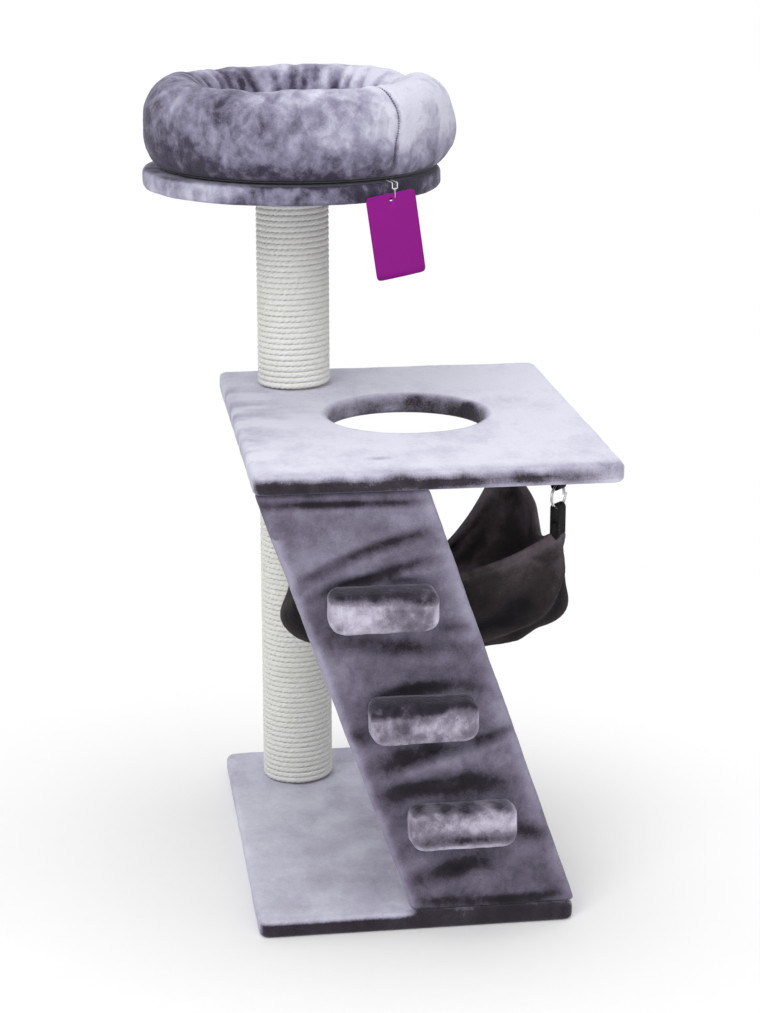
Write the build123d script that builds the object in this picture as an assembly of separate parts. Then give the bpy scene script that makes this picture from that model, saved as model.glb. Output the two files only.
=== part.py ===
"""Cat tree with a base, two rope-wound posts, a platform with a hole, a climbing board with steps,
a hanging hammock and a round bed on top. Millimetres, Z up, origin at the middle of the base's underside,
X to the right and Y away from the climbing board."""

import os
from math import asin, cos, hypot, pi, radians, sin

from build123d import *

os.makedirs("parts", exist_ok=True)

# Plush on the boards
PLUSH = 3.0
HEM_THICKNESS = 2.0
HEM_WIDTH = 45.0
BOARD_CORNER_RADIUS = 9.0
BOARD_EDGE_RADIUS = 3.0

# Base, platform and round panel
TREE_DEPTH = 500.0
BASE_WIDTH = 355.0
BASE_BOARD = 15.0
PLATFORM_WIDTH = 400.0
PLATFORM_BOARD = 16.0
HOLE_RADIUS = 94.0
HOLE_BACK_OF_MIDDLE = 8.0
DISC_RADIUS = 177.0
DISC_BOARD = 16.0

# Posts
POST_FROM_LEFT = 86.5
POST_FROM_BACK = 77.0
LOWER_POST = 489.0
UPPER_POST = 243.0
TUBE_DIAMETER = 75.0
TUBE_WALL = 4.5
PLUG_LENGTH = 24.0
ROPE_DIAMETER = 6.2
ROPE_GAP = 0.5
ROPE_TURNS = 24

# Post bolts, washers, stud and threaded inserts
BOLT_DIAMETER = 8.0
BOLT_HEAD_FLATS = 13.0
BOLT_HEAD_HEIGHT = 5.3
WASHER_DIAMETER = 24.0
WASHER_THICKNESS = 2.0
WASHER_ROOM = 2.0
COUNTERBORE_DEPTH = 8.0
THREAD_ENGAGED = 18.0
INSERT_DIAMETER = 12.0
INSERT_LENGTH = 20.0

# Climbing board and steps
RAMP_WIDTH = 186.0
RAMP_BOARD = 14.0
RAMP_SETBACK = 7.0
STEP_COUNT = 3
STEP_LENGTH = 118.0
STEP_HEIGHT = 46.0
STEP_DEPTH = 38.0
STEP_FIRST_DROP = 127.0
STEP_SPACING = 127.0
STEP_ROUNDING = 12.0
STEP_SCREW_SPACING = 70.0
STEP_SCREW_BITE = 18.0

# Brackets, screws and bolts of the climbing board
BRACKET_LEG = 40.0
BRACKET_WIDTH = 20.0
BRACKET_THICKNESS = 2.0
BRACKET_NEAR_INSET = 28.0
BRACKET_FAR_INSET = 48.0
BRACKET_SCREW_PLACES = (14.0, 30.0)
BRACKET_BOLT_PLACE = 28.0
SCREW_DIAMETER = 4.0
SCREW_HEAD_DIAMETER = 8.0
SCREW_HEAD_HEIGHT = 2.4
SCREW_BITE = 10.0
RAMP_BOLT_DIAMETER = 5.0
RAMP_BOLT_HEAD_DIAMETER = 14.0
RAMP_BOLT_HEAD_HEIGHT = 2.5
RAMP_NUT_FLATS = 8.0
RAMP_NUT_HEIGHT = 4.0
RAMP_BOLT_TIP = 2.0

# Hammock, its webbing, rings and tabs
HANGER_SPAN_ACROSS = 275.0
HANGER_FROM_FRONT = 52.0
HANGER_BEFORE_POST = 71.0
WEBBING_WIDTH = 15.0
WEBBING_THICKNESS = 1.4
TAB_DROP = 13.0
TAB_FLANGE = 14.0
TAB_TURN = 45.0
RING_DIAMETER = 27.8
RING_WIRE = 1.6
RING_GAP = 0.45
RING_TURNS = 2
STRAP_BELOW_RING = 29.0
CLOTH_THICKNESS = 6.0
CLOTH_LUG_HEIGHT = 13.0
CLOTH_SIDE_BULGE = 9.5
CLOTH_SIDE_SAG = 52.0
CLOTH_FRONT_SAG = 64.0
CLOTH_BELLY_DEPTH = 134.0

# Round bed
BED_OUTER_RADIUS = 186.0
BED_RIGHT_OF_POST = 7.0
BOLSTER_WIDTH = 84.0
BOLSTER_HEIGHT = 104.0
BOLSTER_WIDEST_HEIGHT = 50.0
BOLSTER_FOOT_WIDTH = 40.0
BED_CLOTH = 2.5
BED_BOTTOM_CLOTH = 1.5
BED_PAD_SIDE = 14.0
BED_PAD_CROWN = 16.0
BED_PAD_ROUNDING = 6.0
PATCH_LENGTH = 50.0
PATCH_WIDTH = 25.0
PATCH_THICKNESS = 1.2
PATCH_CIRCLE_RADIUS = 120.0
PATCH_COUNT = 4

# Swing tag, its loop and the thread that holds it
TAG_WIDTH = 60.0
TAG_HEIGHT = 97.0
TAG_THICKNESS = 0.8
TAG_CORNER_RADIUS = 5.0
TAG_HOLE_DIAMETER = 4.0
TAG_HOLE_BELOW_TOP = 7.0
TAG_RIM_ANGLE = 34.0
TAG_FACING_ANGLE = 12.0
TAG_LEAN = 6.5
TAG_LOOP_DIAMETER = 0.9
TAG_LOOP_DROP = 9.0
THREAD_DIAMETER = 1.0
THREAD_EYE_WIDTH = 6.0
THREAD_EYE_DROP = 7.0
THREAD_LENGTH_ON_PANEL = 22.0
THREAD_BEND_RADIUS = 1.6

# Clearances
FIT = 0.1
SOFT_GAP = 0.3

# Heights of the stacked pieces
BASE_TOP = HEM_THICKNESS + BASE_BOARD + PLUSH
PLATFORM_BOTTOM = BASE_TOP + LOWER_POST
PLATFORM_TOP = PLATFORM_BOTTOM + PLATFORM_BOARD + 2 * PLUSH
DISC_BOTTOM = PLATFORM_TOP + UPPER_POST
DISC_TOP = DISC_BOTTOM + DISC_BOARD + 2 * PLUSH
BED_BOTTOM = DISC_TOP + 2 * PATCH_THICKNESS + FIT + BED_BOTTOM_CLOTH

# Places in plan
LEFT_EDGE = -BASE_WIDTH / 2
FRONT_EDGE = -TREE_DEPTH / 2
POST_X = LEFT_EDGE + POST_FROM_LEFT
POST_Y = TREE_DEPTH / 2 - POST_FROM_BACK
PLATFORM_X = LEFT_EDGE + PLATFORM_WIDTH / 2
RAMP_FRONT = FRONT_EDGE + RAMP_SETBACK
RAMP_BACK = RAMP_FRONT + RAMP_BOARD + 2 * PLUSH

EDGE_RADIUS = BOARD_EDGE_RADIUS + PLUSH
HEAD_RECESS_RADIUS = WASHER_DIAMETER / 2 + WASHER_ROOM


def save(node, *solids):
    """Write one node, a single piece or a group of like pieces."""
    shape = solids[0] if len(solids) == 1 else Compound(list(solids))
    export_step(shape, f"parts/{node}.step")


def rod(start, direction, diameter, length):
    """Plain round rod from a point along a direction."""
    plane = Plane(origin=start, z_dir=direction)
    return extrude(plane * Circle(diameter / 2), amount=length)


def hexagon(start, direction, flats, length):
    """Six-sided head or nut from a point along a direction."""
    plane = Plane(origin=start, z_dir=direction)
    return extrude(plane * RegularPolygon(flats / 2, 6, major_radius=False), amount=length)


def panel(width, depth, thickness, corner_radius, edge_radius, bottom):
    """Rounded rectangular slab standing on the height called bottom."""
    slab = Pos(0, 0, bottom + thickness / 2) * Box(width, depth, thickness)
    slab = fillet(slab.edges().filter_by(Axis.Z), corner_radius)
    faces = slab.faces().sort_by(Axis.Z)
    return fillet(faces[0].edges() + faces[-1].edges(), edge_radius)


def disc(radius, thickness, edge_radius, bottom):
    """Round slab standing on the height called bottom, on the posts' axis."""
    slab = Pos(POST_X, POST_Y, bottom + thickness / 2) * Cylinder(radius, thickness)
    return fillet(slab.edges().filter_by(GeomType.CIRCLE), edge_radius)


def screw(seat, direction, bite):
    """Wood screw: its head stands on the seat, its shank runs on along the direction."""
    return rod(seat, direction, SCREW_DIAMETER, bite) + rod(
        seat, tuple(-part for part in direction), SCREW_HEAD_DIAMETER, SCREW_HEAD_HEIGHT
    )


def screw_hole(seat, direction, bite):
    """Room for a wood screw's shank and head."""
    return rod(seat, direction, SCREW_DIAMETER + FIT, bite + FIT) + rod(
        seat, tuple(-part for part in direction), SCREW_HEAD_DIAMETER + 2 * SOFT_GAP, PLUSH
    )


def winding_path(frame, radius, pitch, turns, end_run):
    """Tangent quarter-turn arcs through points of a helix, with a short straight run at each end."""
    points = []
    for quarter in range(4 * turns + 1):
        angle = quarter * pi / 2
        local = Vector(radius * cos(angle), radius * sin(angle), pitch * quarter / 4)
        points.append(frame.from_local_coords(local))
    heading = (frame.from_local_coords(Vector(0, radius, pitch / (2 * pi))) - frame.origin).normalized()
    arcs = []
    lead_in = Edge.make_line(points[0] - heading * end_run, points[0])
    for start, end in zip(points, points[1:]):
        arc = Edge.make_tangent_arc(start, heading, end)
        heading = arc % 1
        arcs.append(arc)
    lead_out = Edge.make_line(points[-1], points[-1] + heading * end_run)
    return Wire([lead_in, *arcs, lead_out]), arcs


def least_gap(arcs, diameter):
    """Least distance between turns of a winding, measured on points along its quarter turns."""
    per_arc = 4
    points = [arc @ (step / per_arc) for arc in arcs for step in range(per_arc)]
    half_turn = 2 * per_arc
    nearest = min(
        (points[a] - points[b]).length
        for a in range(len(points))
        for b in range(a + half_turn, len(points))
    )
    return nearest - diameter


def wound_tube(name, frame, radius, pitch, turns, diameter):
    """One unbroken tube wound in even turns around the frame's own Z axis."""
    path, arcs = winding_path(frame, radius, pitch, turns, diameter)
    tube = sweep(Plane(origin=path @ 0, z_dir=path % 0) * Circle(diameter / 2), path=path)
    print(f"{name}: least gap between turns {least_gap(arcs, diameter):.2f} mm")
    return tube


# Base: board, plush cover folded under as a hem, and a liner inside the hem
base_board = panel(
    BASE_WIDTH - 2 * PLUSH,
    TREE_DEPTH - 2 * PLUSH,
    BASE_BOARD,
    BOARD_CORNER_RADIUS,
    BOARD_EDGE_RADIUS,
    HEM_THICKNESS,
)
base_cover = panel(
    BASE_WIDTH, TREE_DEPTH, BASE_TOP, BOARD_CORNER_RADIUS + PLUSH, BOARD_EDGE_RADIUS + HEM_THICKNESS, 0
)
base_cover -= base_board
liner_width = BASE_WIDTH - 2 * HEM_WIDTH
liner_depth = TREE_DEPTH - 2 * HEM_WIDTH
liner_height = Pos(0, 0, HEM_THICKNESS / 2)
base_cover -= liner_height * Box(liner_width, liner_depth, HEM_THICKNESS)
base_liner = liner_height * Box(liner_width - 2 * FIT, liner_depth - 2 * FIT, HEM_THICKNESS)

# Platform: board and plush cover, both with the round hole
def holed_panel(inset):
    """Platform slab smaller than the covered platform by the inset all round, with the hole's edges eased."""
    slab = Pos(PLATFORM_X, 0, 0) * panel(
        PLATFORM_WIDTH - 2 * inset,
        TREE_DEPTH - 2 * inset,
        PLATFORM_BOARD + 2 * (PLUSH - inset),
        BOARD_CORNER_RADIUS + PLUSH - inset,
        EDGE_RADIUS - inset,
        PLATFORM_BOTTOM + inset,
    )
    middle = Pos(PLATFORM_X, HOLE_BACK_OF_MIDDLE, PLATFORM_BOTTOM + PLUSH + PLATFORM_BOARD / 2)
    slab -= middle * Cylinder(HOLE_RADIUS + inset, PLATFORM_TOP - PLATFORM_BOTTOM)
    rims = [
        edge
        for edge in slab.edges().filter_by(GeomType.CIRCLE)
        if abs(edge.radius - HOLE_RADIUS - inset) < FIT
    ]
    return fillet(rims, EDGE_RADIUS - inset)


platform_board = holed_panel(PLUSH)
platform_cover = holed_panel(0) - platform_board

# Round panel under the bed
disc_board = disc(DISC_RADIUS - PLUSH, DISC_BOARD, BOARD_EDGE_RADIUS, DISC_BOTTOM + PLUSH)
disc_cover = disc(DISC_RADIUS, DISC_TOP - DISC_BOTTOM, EDGE_RADIUS, DISC_BOTTOM) - disc_board

# Posts: cardboard tube, a wood plug with a threaded insert in each end, and the rope around the tube
ROPE_CENTRE_RADIUS = TUBE_DIAMETER / 2 + SOFT_GAP + ROPE_DIAMETER / 2
ROPE_PITCH = ROPE_DIAMETER + ROPE_GAP
inserts = []


def plug(end, inward):
    """Wood plug in one end of a tube, with its threaded insert level with the plug's face."""
    face = Vector(POST_X, POST_Y, end)
    direction = Vector(0, 0, inward)
    bore = TUBE_DIAMETER - 2 * TUBE_WALL
    insert = rod(face, direction, INSERT_DIAMETER, INSERT_LENGTH)
    thread = rod(face, direction, BOLT_DIAMETER, PLUG_LENGTH)
    inserts.append(insert - thread)
    return rod(face, direction, bore - FIT, PLUG_LENGTH) - insert - thread


def post(name, bottom, length):
    """Tube, plugs and rope of one post: single turns at its foot, and a plain sleeve of rope above them."""
    axis = Pos(POST_X, POST_Y, bottom)
    tube = axis * Pos(0, 0, length / 2) * (
        Cylinder(TUBE_DIAMETER / 2, length) - Cylinder(TUBE_DIAMETER / 2 - TUBE_WALL, length)
    )
    first_turn = bottom + SOFT_GAP + ROPE_DIAMETER / 2
    frame = Plane(origin=(POST_X, POST_Y, first_turn))
    rope = wound_tube(f"{name}_rope", frame, ROPE_CENTRE_RADIUS, ROPE_PITCH, ROPE_TURNS, ROPE_DIAMETER)
    wound_height = SOFT_GAP + ROPE_DIAMETER + ROPE_TURNS * ROPE_PITCH + 2 * SOFT_GAP
    sleeve_height = length - wound_height
    sleeve = axis * Pos(0, 0, wound_height + sleeve_height / 2) * (
        Cylinder(ROPE_CENTRE_RADIUS + ROPE_DIAMETER / 2, sleeve_height)
        - Cylinder(TUBE_DIAMETER / 2 + SOFT_GAP, sleeve_height)
    )
    save(f"{name}_tube", tube)
    save(f"{name}_foot_plug", plug(bottom, 1))
    save(f"{name}_head_plug", plug(bottom + length, -1))
    save(f"{name}_rope", rope)
    save(f"{name}_rope_sleeve", sleeve)


post("lower_post", BASE_TOP, LOWER_POST)
post("upper_post", PLATFORM_TOP, UPPER_POST)
save("threaded_inserts", *inserts)


# Bolts into the outer ends of the posts, their washers, and the stud that joins the posts
def post_bolt(board_face, inward):
    """Hex bolt and washer in a counterbore of the board that the bolt holds against a post."""
    floor = board_face + inward * COUNTERBORE_DEPTH
    direction = (0, 0, inward)
    outward = (0, 0, -inward)
    washer_face = floor - inward * WASHER_THICKNESS
    shank_end = BASE_TOP + THREAD_ENGAGED if inward > 0 else DISC_BOTTOM - THREAD_ENGAGED
    seat = (POST_X, POST_Y, washer_face)
    bolt = rod(seat, direction, BOLT_DIAMETER - FIT, abs(shank_end - washer_face))
    bolt += hexagon(seat, outward, BOLT_HEAD_FLATS, BOLT_HEAD_HEIGHT)
    washer = rod(seat, direction, WASHER_DIAMETER, WASHER_THICKNESS)
    washer -= rod(seat, direction, BOLT_DIAMETER + FIT, WASHER_THICKNESS)
    return bolt, washer


base_bolt, base_washer = post_bolt(HEM_THICKNESS, 1)
disc_bolt, disc_washer = post_bolt(DISC_TOP - PLUSH, -1)
save("post_bolts", base_bolt, disc_bolt)
save("post_washers", base_washer, disc_washer)
save(
    "platform_stud",
    rod(
        (POST_X, POST_Y, PLATFORM_BOTTOM - THREAD_ENGAGED),
        (0, 0, 1),
        BOLT_DIAMETER - FIT,
        PLATFORM_TOP - PLATFORM_BOTTOM + 2 * THREAD_ENGAGED,
    ),
)

bolt_way = rod((POST_X, POST_Y, 0), (0, 0, 1), BOLT_DIAMETER + FIT, DISC_TOP)
base_recess = rod((POST_X, POST_Y, 0), (0, 0, 1), 2 * HEAD_RECESS_RADIUS, HEM_THICKNESS + COUNTERBORE_DEPTH)
disc_recess = rod((POST_X, POST_Y, DISC_TOP), (0, 0, -1), 2 * HEAD_RECESS_RADIUS, PLUSH + COUNTERBORE_DEPTH)
base_board -= bolt_way + base_recess
base_cover -= bolt_way + base_recess
base_liner -= base_recess
platform_board -= bolt_way
platform_cover -= bolt_way
disc_board -= bolt_way + disc_recess
disc_cover -= bolt_way + disc_recess


# Climbing board: a parallelogram from under the platform's left edge to the base's right edge
RAMP_LEAN = (BASE_WIDTH - RAMP_WIDTH) / LOWER_POST
RAMP_SLANT = hypot(1, RAMP_LEAN)


def ramp_left(height):
    """Left edge of the climbing board at a height."""
    return LEFT_EDGE + RAMP_LEAN * (PLATFORM_BOTTOM - height)


def ramp_slab(inset):
    """Climbing board smaller than the covered board by the inset on every face."""
    side = inset * RAMP_SLANT
    low = BASE_TOP + inset
    high = PLATFORM_BOTTOM - inset
    corners = [
        (ramp_left(high) + side, high),
        (ramp_left(high) + RAMP_WIDTH - side, high),
        (ramp_left(low) + RAMP_WIDTH - side, low),
        (ramp_left(low) + side, low),
    ]
    plane = Plane(origin=(0, RAMP_BACK - inset, 0), x_dir=(1, 0, 0), z_dir=(0, -1, 0))
    slab = extrude(plane * make_face(Polyline(*corners, close=True)), amount=RAMP_BOARD + 2 * (PLUSH - inset))
    return fillet(slab.edges(), EDGE_RADIUS - inset)


ramp_board = ramp_slab(PLUSH)
ramp_cover = ramp_slab(0) - ramp_board


# Steps: a rounded wood block wrapped in plush, held by two screws from behind the climbing board
def step_block(inset):
    """Step smaller than the covered step by the inset, flat at its back."""
    block = Pos(0, RAMP_FRONT - (STEP_DEPTH - inset) / 2, 0) * Box(
        STEP_LENGTH - 2 * inset, STEP_DEPTH - inset, STEP_HEIGHT - 2 * inset
    )
    block = fillet(block.edges().filter_by(Axis.Y), STEP_ROUNDING - inset)
    front = block.faces().sort_by(Axis.Y)[0]
    return fillet(front.edges(), STEP_ROUNDING - inset)


STEP_NAMES = ("upper", "middle", "lower")
step_screws = []
for index, name in enumerate(STEP_NAMES[:STEP_COUNT]):
    step_height = PLATFORM_BOTTOM - STEP_FIRST_DROP - index * STEP_SPACING
    step_middle = ramp_left(step_height) + RAMP_WIDTH / 2
    place = Pos(step_middle, 0, step_height)
    block = place * step_block(PLUSH)
    cover = place * step_block(0) - block
    for side in (-1, 1):
        seat = (step_middle + side * STEP_SCREW_SPACING / 2, RAMP_BACK - PLUSH, step_height)
        bite = RAMP_BOARD + PLUSH + STEP_SCREW_BITE
        step_screws.append(screw(seat, (0, -1, 0), bite))
        room = screw_hole(seat, (0, -1, 0), bite)
        ramp_board -= room
        ramp_cover -= room
        block -= room
    save(f"step_block_{name}", block)
    save(f"step_cover_{name}", cover)
save("step_screws", *step_screws)


# Angle brackets behind the climbing board, two under the platform and two on the base
def bracket(middle, level, upward):
    """Angle bracket in the corner between the climbing board's back and a level face, with its holes."""
    plane = Plane(origin=(middle - BRACKET_WIDTH / 2, RAMP_BACK, level), x_dir=(0, 1, 0), z_dir=(1, 0, 0))
    corners = [
        (0, 0),
        (BRACKET_LEG, 0),
        (BRACKET_LEG, upward * BRACKET_THICKNESS),
        (BRACKET_THICKNESS, upward * BRACKET_THICKNESS),
        (BRACKET_THICKNESS, upward * BRACKET_LEG),
        (0, upward * BRACKET_LEG),
    ]
    angle = extrude(plane * make_face(Polyline(*corners, close=True)), amount=BRACKET_WIDTH)
    for place in BRACKET_SCREW_PLACES:
        hole_start = (middle, RAMP_BACK, level + upward * place)
        angle -= rod(hole_start, (0, 1, 0), SCREW_DIAMETER + FIT, BRACKET_THICKNESS)
    return angle


bracket_screws = []
bracket_bolts = []
bracket_nuts = []


def fix_with_screw(seat, direction):
    """Add one bracket screw and return the room that its shank needs beyond the seat."""
    bracket_screws.append(screw(seat, direction, BRACKET_THICKNESS + PLUSH + SCREW_BITE))
    return rod(seat, direction, SCREW_DIAMETER + FIT, BRACKET_THICKNESS + PLUSH + SCREW_BITE + FIT)


for name, middle in (
    ("left", ramp_left(PLATFORM_BOTTOM) + BRACKET_NEAR_INSET),
    ("right", ramp_left(PLATFORM_BOTTOM) + RAMP_WIDTH - BRACKET_FAR_INSET),
):
    angle = bracket(middle, PLATFORM_BOTTOM, -1)
    bolt_y = RAMP_BACK + BRACKET_BOLT_PLACE
    mouth = (middle, bolt_y, PLATFORM_TOP)
    way = rod(mouth, (0, 0, -1), RAMP_BOLT_DIAMETER + FIT, PLATFORM_TOP - PLATFORM_BOTTOM)
    way += rod(mouth, (0, 0, -1), RAMP_BOLT_HEAD_DIAMETER + 2 * SOFT_GAP, PLUSH)
    platform_board -= way
    platform_cover -= way
    angle -= rod((middle, bolt_y, PLATFORM_BOTTOM), (0, 0, -1), RAMP_BOLT_DIAMETER + FIT, BRACKET_THICKNESS)
    head_seat = (middle, bolt_y, PLATFORM_TOP - PLUSH)
    nut_seat = (middle, bolt_y, PLATFORM_BOTTOM - BRACKET_THICKNESS)
    shank = PLATFORM_BOARD + PLUSH + BRACKET_THICKNESS + RAMP_NUT_HEIGHT + RAMP_BOLT_TIP
    bolt = rod(head_seat, (0, 0, -1), RAMP_BOLT_DIAMETER, shank)
    bolt += rod(head_seat, (0, 0, 1), RAMP_BOLT_HEAD_DIAMETER, RAMP_BOLT_HEAD_HEIGHT)
    bracket_bolts.append(bolt)
    nut = hexagon(nut_seat, (0, 0, -1), RAMP_NUT_FLATS, RAMP_NUT_HEIGHT)
    bracket_nuts.append(nut - rod(nut_seat, (0, 0, -1), RAMP_BOLT_DIAMETER + FIT, RAMP_NUT_HEIGHT))
    for place in BRACKET_SCREW_PLACES:
        seat = (middle, RAMP_BACK + BRACKET_THICKNESS, PLATFORM_BOTTOM - place)
        room = fix_with_screw(seat, (0, -1, 0))
        ramp_board -= room
        ramp_cover -= room
    save(f"bracket_top_{name}", angle)

for name, middle in (
    ("left", ramp_left(BASE_TOP) + BRACKET_FAR_INSET),
    ("right", ramp_left(BASE_TOP) + RAMP_WIDTH - BRACKET_NEAR_INSET),
):
    angle = bracket(middle, BASE_TOP, 1)
    for place in BRACKET_SCREW_PLACES:
        seat = (middle, RAMP_BACK + BRACKET_THICKNESS, BASE_TOP + place)
        room = fix_with_screw(seat, (0, -1, 0))
        ramp_board -= room
        ramp_cover -= room
        seat = (middle, RAMP_BACK + place, BASE_TOP + BRACKET_THICKNESS)
        room = fix_with_screw(seat, (0, 0, -1))
        angle -= room
        base_board -= room
        base_cover -= room
    save(f"bracket_bottom_{name}", angle)

save("bracket_screws", *bracket_screws)
save("bracket_bolts", *bracket_bolts)
save("bracket_nuts", *bracket_nuts)
save("ramp_board", ramp_board)
save("ramp_cover", ramp_cover)
save("base_board", base_board)
save("base_cover", base_cover)
save("base_liner", base_liner)


# Hammock hangers: webbing tabs under the platform, split rings in them, straps on the rings
ALONG_LOOP = Vector(sin(radians(TAB_TURN)), cos(radians(TAB_TURN)), 0)
ACROSS_LOOP = Vector(cos(radians(TAB_TURN)), -sin(radians(TAB_TURN)), 0)
RING_RADIUS = (RING_DIAMETER - RING_WIRE) / 2
RING_PITCH = RING_WIRE + RING_GAP
RING_SPREAD = asin(WEBBING_WIDTH / 2 / RING_RADIUS)
RING_FALL = RING_RADIUS * (1 - cos(RING_SPREAD))
RING_DRIFT = RING_PITCH * (0.75 + RING_SPREAD / (2 * pi))
LOOP_RADIUS = hypot(RING_DRIFT, RING_FALL) + RING_WIRE / 2 / cos(RING_SPREAD) + SOFT_GAP
TAB_PIVOT = PLATFORM_BOTTOM - TAB_DROP
STRAP_PIVOT = TAB_PIVOT - 2 * RING_RADIUS
STRAP_END = STRAP_PIVOT - STRAP_BELOW_RING
HANGER_FRONT = FRONT_EDGE + HANGER_FROM_FRONT
HANGER_BACK = POST_Y - HANGER_BEFORE_POST
HANGER_LEFT = PLATFORM_X - HANGER_SPAN_ACROSS / 2
HANGER_RIGHT = PLATFORM_X + HANGER_SPAN_ACROSS / 2


def band(corner_x, corner_y, flat_shape):
    """Webbing of one width from its side view, drawn across the loop and upward."""
    plane = Plane(origin=(corner_x, corner_y, 0), x_dir=ACROSS_LOOP, z_dir=-ALONG_LOOP)
    return extrude(plane * flat_shape, amount=WEBBING_WIDTH / 2, both=True)


def loop_outline(round_height, straight_end, half_width):
    """Side view of a loop: round at one height, straight to another height."""
    straight = Pos(0, (round_height + straight_end) / 2) * Rectangle(
        2 * half_width, abs(straight_end - round_height)
    )
    return straight + Pos(0, round_height) * Circle(half_width)


def tab(corner_x, corner_y):
    """Webbing tab: two flanges against the platform and a loop below them, with its two screws."""
    outer_radius = LOOP_RADIUS + WEBBING_THICKNESS
    flange = Pos(0, PLATFORM_BOTTOM - WEBBING_THICKNESS / 2) * Rectangle(
        2 * (outer_radius + TAB_FLANGE), WEBBING_THICKNESS
    )
    side_view = flange + loop_outline(TAB_PIVOT, PLATFORM_BOTTOM, outer_radius)
    side_view -= loop_outline(TAB_PIVOT, PLATFORM_BOTTOM, LOOP_RADIUS)
    webbing = band(corner_x, corner_y, side_view)
    screws = []
    for side in (-1, 1):
        offset = ACROSS_LOOP * (side * (outer_radius + TAB_FLANGE / 2))
        seat = Vector(corner_x, corner_y, PLATFORM_BOTTOM - WEBBING_THICKNESS) + offset
        bite = WEBBING_THICKNESS + PLUSH + SCREW_BITE
        screws.append(screw(seat, (0, 0, 1), bite))
        room = rod(seat, (0, 0, 1), SCREW_DIAMETER + FIT, bite + FIT)
        webbing -= room
        tab_screw_rooms.append(room)
    return webbing, screws


def strap(corner_x, corner_y):
    """Webbing strap: a loop over the ring's foot whose two ends hold the cloth's corner between them."""
    outer_radius = LOOP_RADIUS + WEBBING_THICKNESS
    side_view = loop_outline(STRAP_PIVOT, STRAP_END, outer_radius)
    side_view -= loop_outline(STRAP_PIVOT, STRAP_END, LOOP_RADIUS)
    return band(corner_x, corner_y, side_view)


def ring(name, corner_x, corner_y):
    """Split ring of two turns, standing upright in the loops of a tab and a strap."""
    half_length = RING_TURNS * RING_PITCH / 2
    middle = Vector(corner_x, corner_y, TAB_PIVOT - RING_RADIUS)
    frame = Plane(origin=middle - ACROSS_LOOP * half_length, x_dir=ALONG_LOOP, z_dir=ACROSS_LOOP)
    return wound_tube(f"ring_{name}", frame, RING_RADIUS, RING_PITCH, RING_TURNS, RING_WIRE)


# Hammock cloth: rims that sag between four corners and a belly between them
RIM_HEIGHT = STRAP_END - CLOTH_THICKNESS
CLOTH_STATIONS = 5


def cloth_section(share):
    """Sagging band across the cloth at a share of its depth from front to back."""
    swell = sin(pi * share)
    half_width = HANGER_SPAN_ACROSS / 2 + CLOTH_SIDE_BULGE * swell
    rim = RIM_HEIGHT - CLOTH_SIDE_SAG * swell
    sag = CLOTH_FRONT_SAG + (CLOTH_BELLY_DEPTH - CLOTH_FRONT_SAG) * swell
    radius = (half_width**2 + sag**2) / (2 * sag)
    centre = rim - sag + radius
    spread = asin(half_width / radius)

    def on_arc(arc_radius, angle):
        return (arc_radius * sin(angle), centre - arc_radius * cos(angle))

    inner = radius - CLOTH_THICKNESS
    outline = [
        ThreePointArc(on_arc(radius, -spread), on_arc(radius, 0), on_arc(radius, spread)),
        Line(on_arc(radius, spread), on_arc(inner, spread)),
        ThreePointArc(on_arc(inner, spread), on_arc(inner, 0), on_arc(inner, -spread)),
        Line(on_arc(inner, -spread), on_arc(radius, -spread)),
    ]
    depth = HANGER_FRONT + (HANGER_BACK - HANGER_FRONT) * share
    plane = Plane(origin=(PLATFORM_X, depth, 0), x_dir=(1, 0, 0), z_dir=(0, -1, 0))
    return plane * make_face(outline)


cloth = loft([cloth_section(station / (CLOTH_STATIONS - 1)) for station in range(CLOTH_STATIONS)])

tab_screws = []
tab_screw_rooms = []
tabs = []
for name, corner_x, corner_y in (
    ("front_left", HANGER_LEFT, HANGER_FRONT),
    ("front_right", HANGER_RIGHT, HANGER_FRONT),
    ("rear_left", HANGER_LEFT, HANGER_BACK),
    ("rear_right", HANGER_RIGHT, HANGER_BACK),
):
    webbing, screws = tab(corner_x, corner_y)
    tabs.append(webbing)
    tab_screws += screws
    save(f"ring_{name}", ring(name, corner_x, corner_y))
    save(f"strap_{name}", strap(corner_x, corner_y))
    lug_height = CLOTH_LUG_HEIGHT + 2 * CLOTH_THICKNESS
    lug_middle = STRAP_END + CLOTH_LUG_HEIGHT - lug_height / 2
    cloth += band(corner_x, corner_y, Pos(0, lug_middle) * Rectangle(2 * LOOP_RADIUS, lug_height))
save("hammock_cloth", cloth)
save("hanger_tabs", *tabs)
save("hanger_screws", *tab_screws)
for room in tab_screw_rooms:
    platform_board -= room
    platform_cover -= room
save("platform_board", platform_board)
save("platform_cover", platform_cover)


# Round bed: stuffed bolster ring, floor pad, bottom cloth and the patches that keep it in place
BED_X = POST_X + BED_RIGHT_OF_POST
BED_Y = POST_Y
BOLSTER_MIDDLE = BED_OUTER_RADIUS - BOLSTER_WIDTH / 2
BED_INNER_RADIUS = BED_OUTER_RADIUS - BOLSTER_WIDTH
BED_PLANE = Plane(origin=(BED_X, BED_Y, BED_BOTTOM), x_dir=(1, 0, 0), z_dir=(0, -1, 0))
BED_AXIS = Axis((BED_X, BED_Y, 0), (0, 0, 1))


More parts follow.
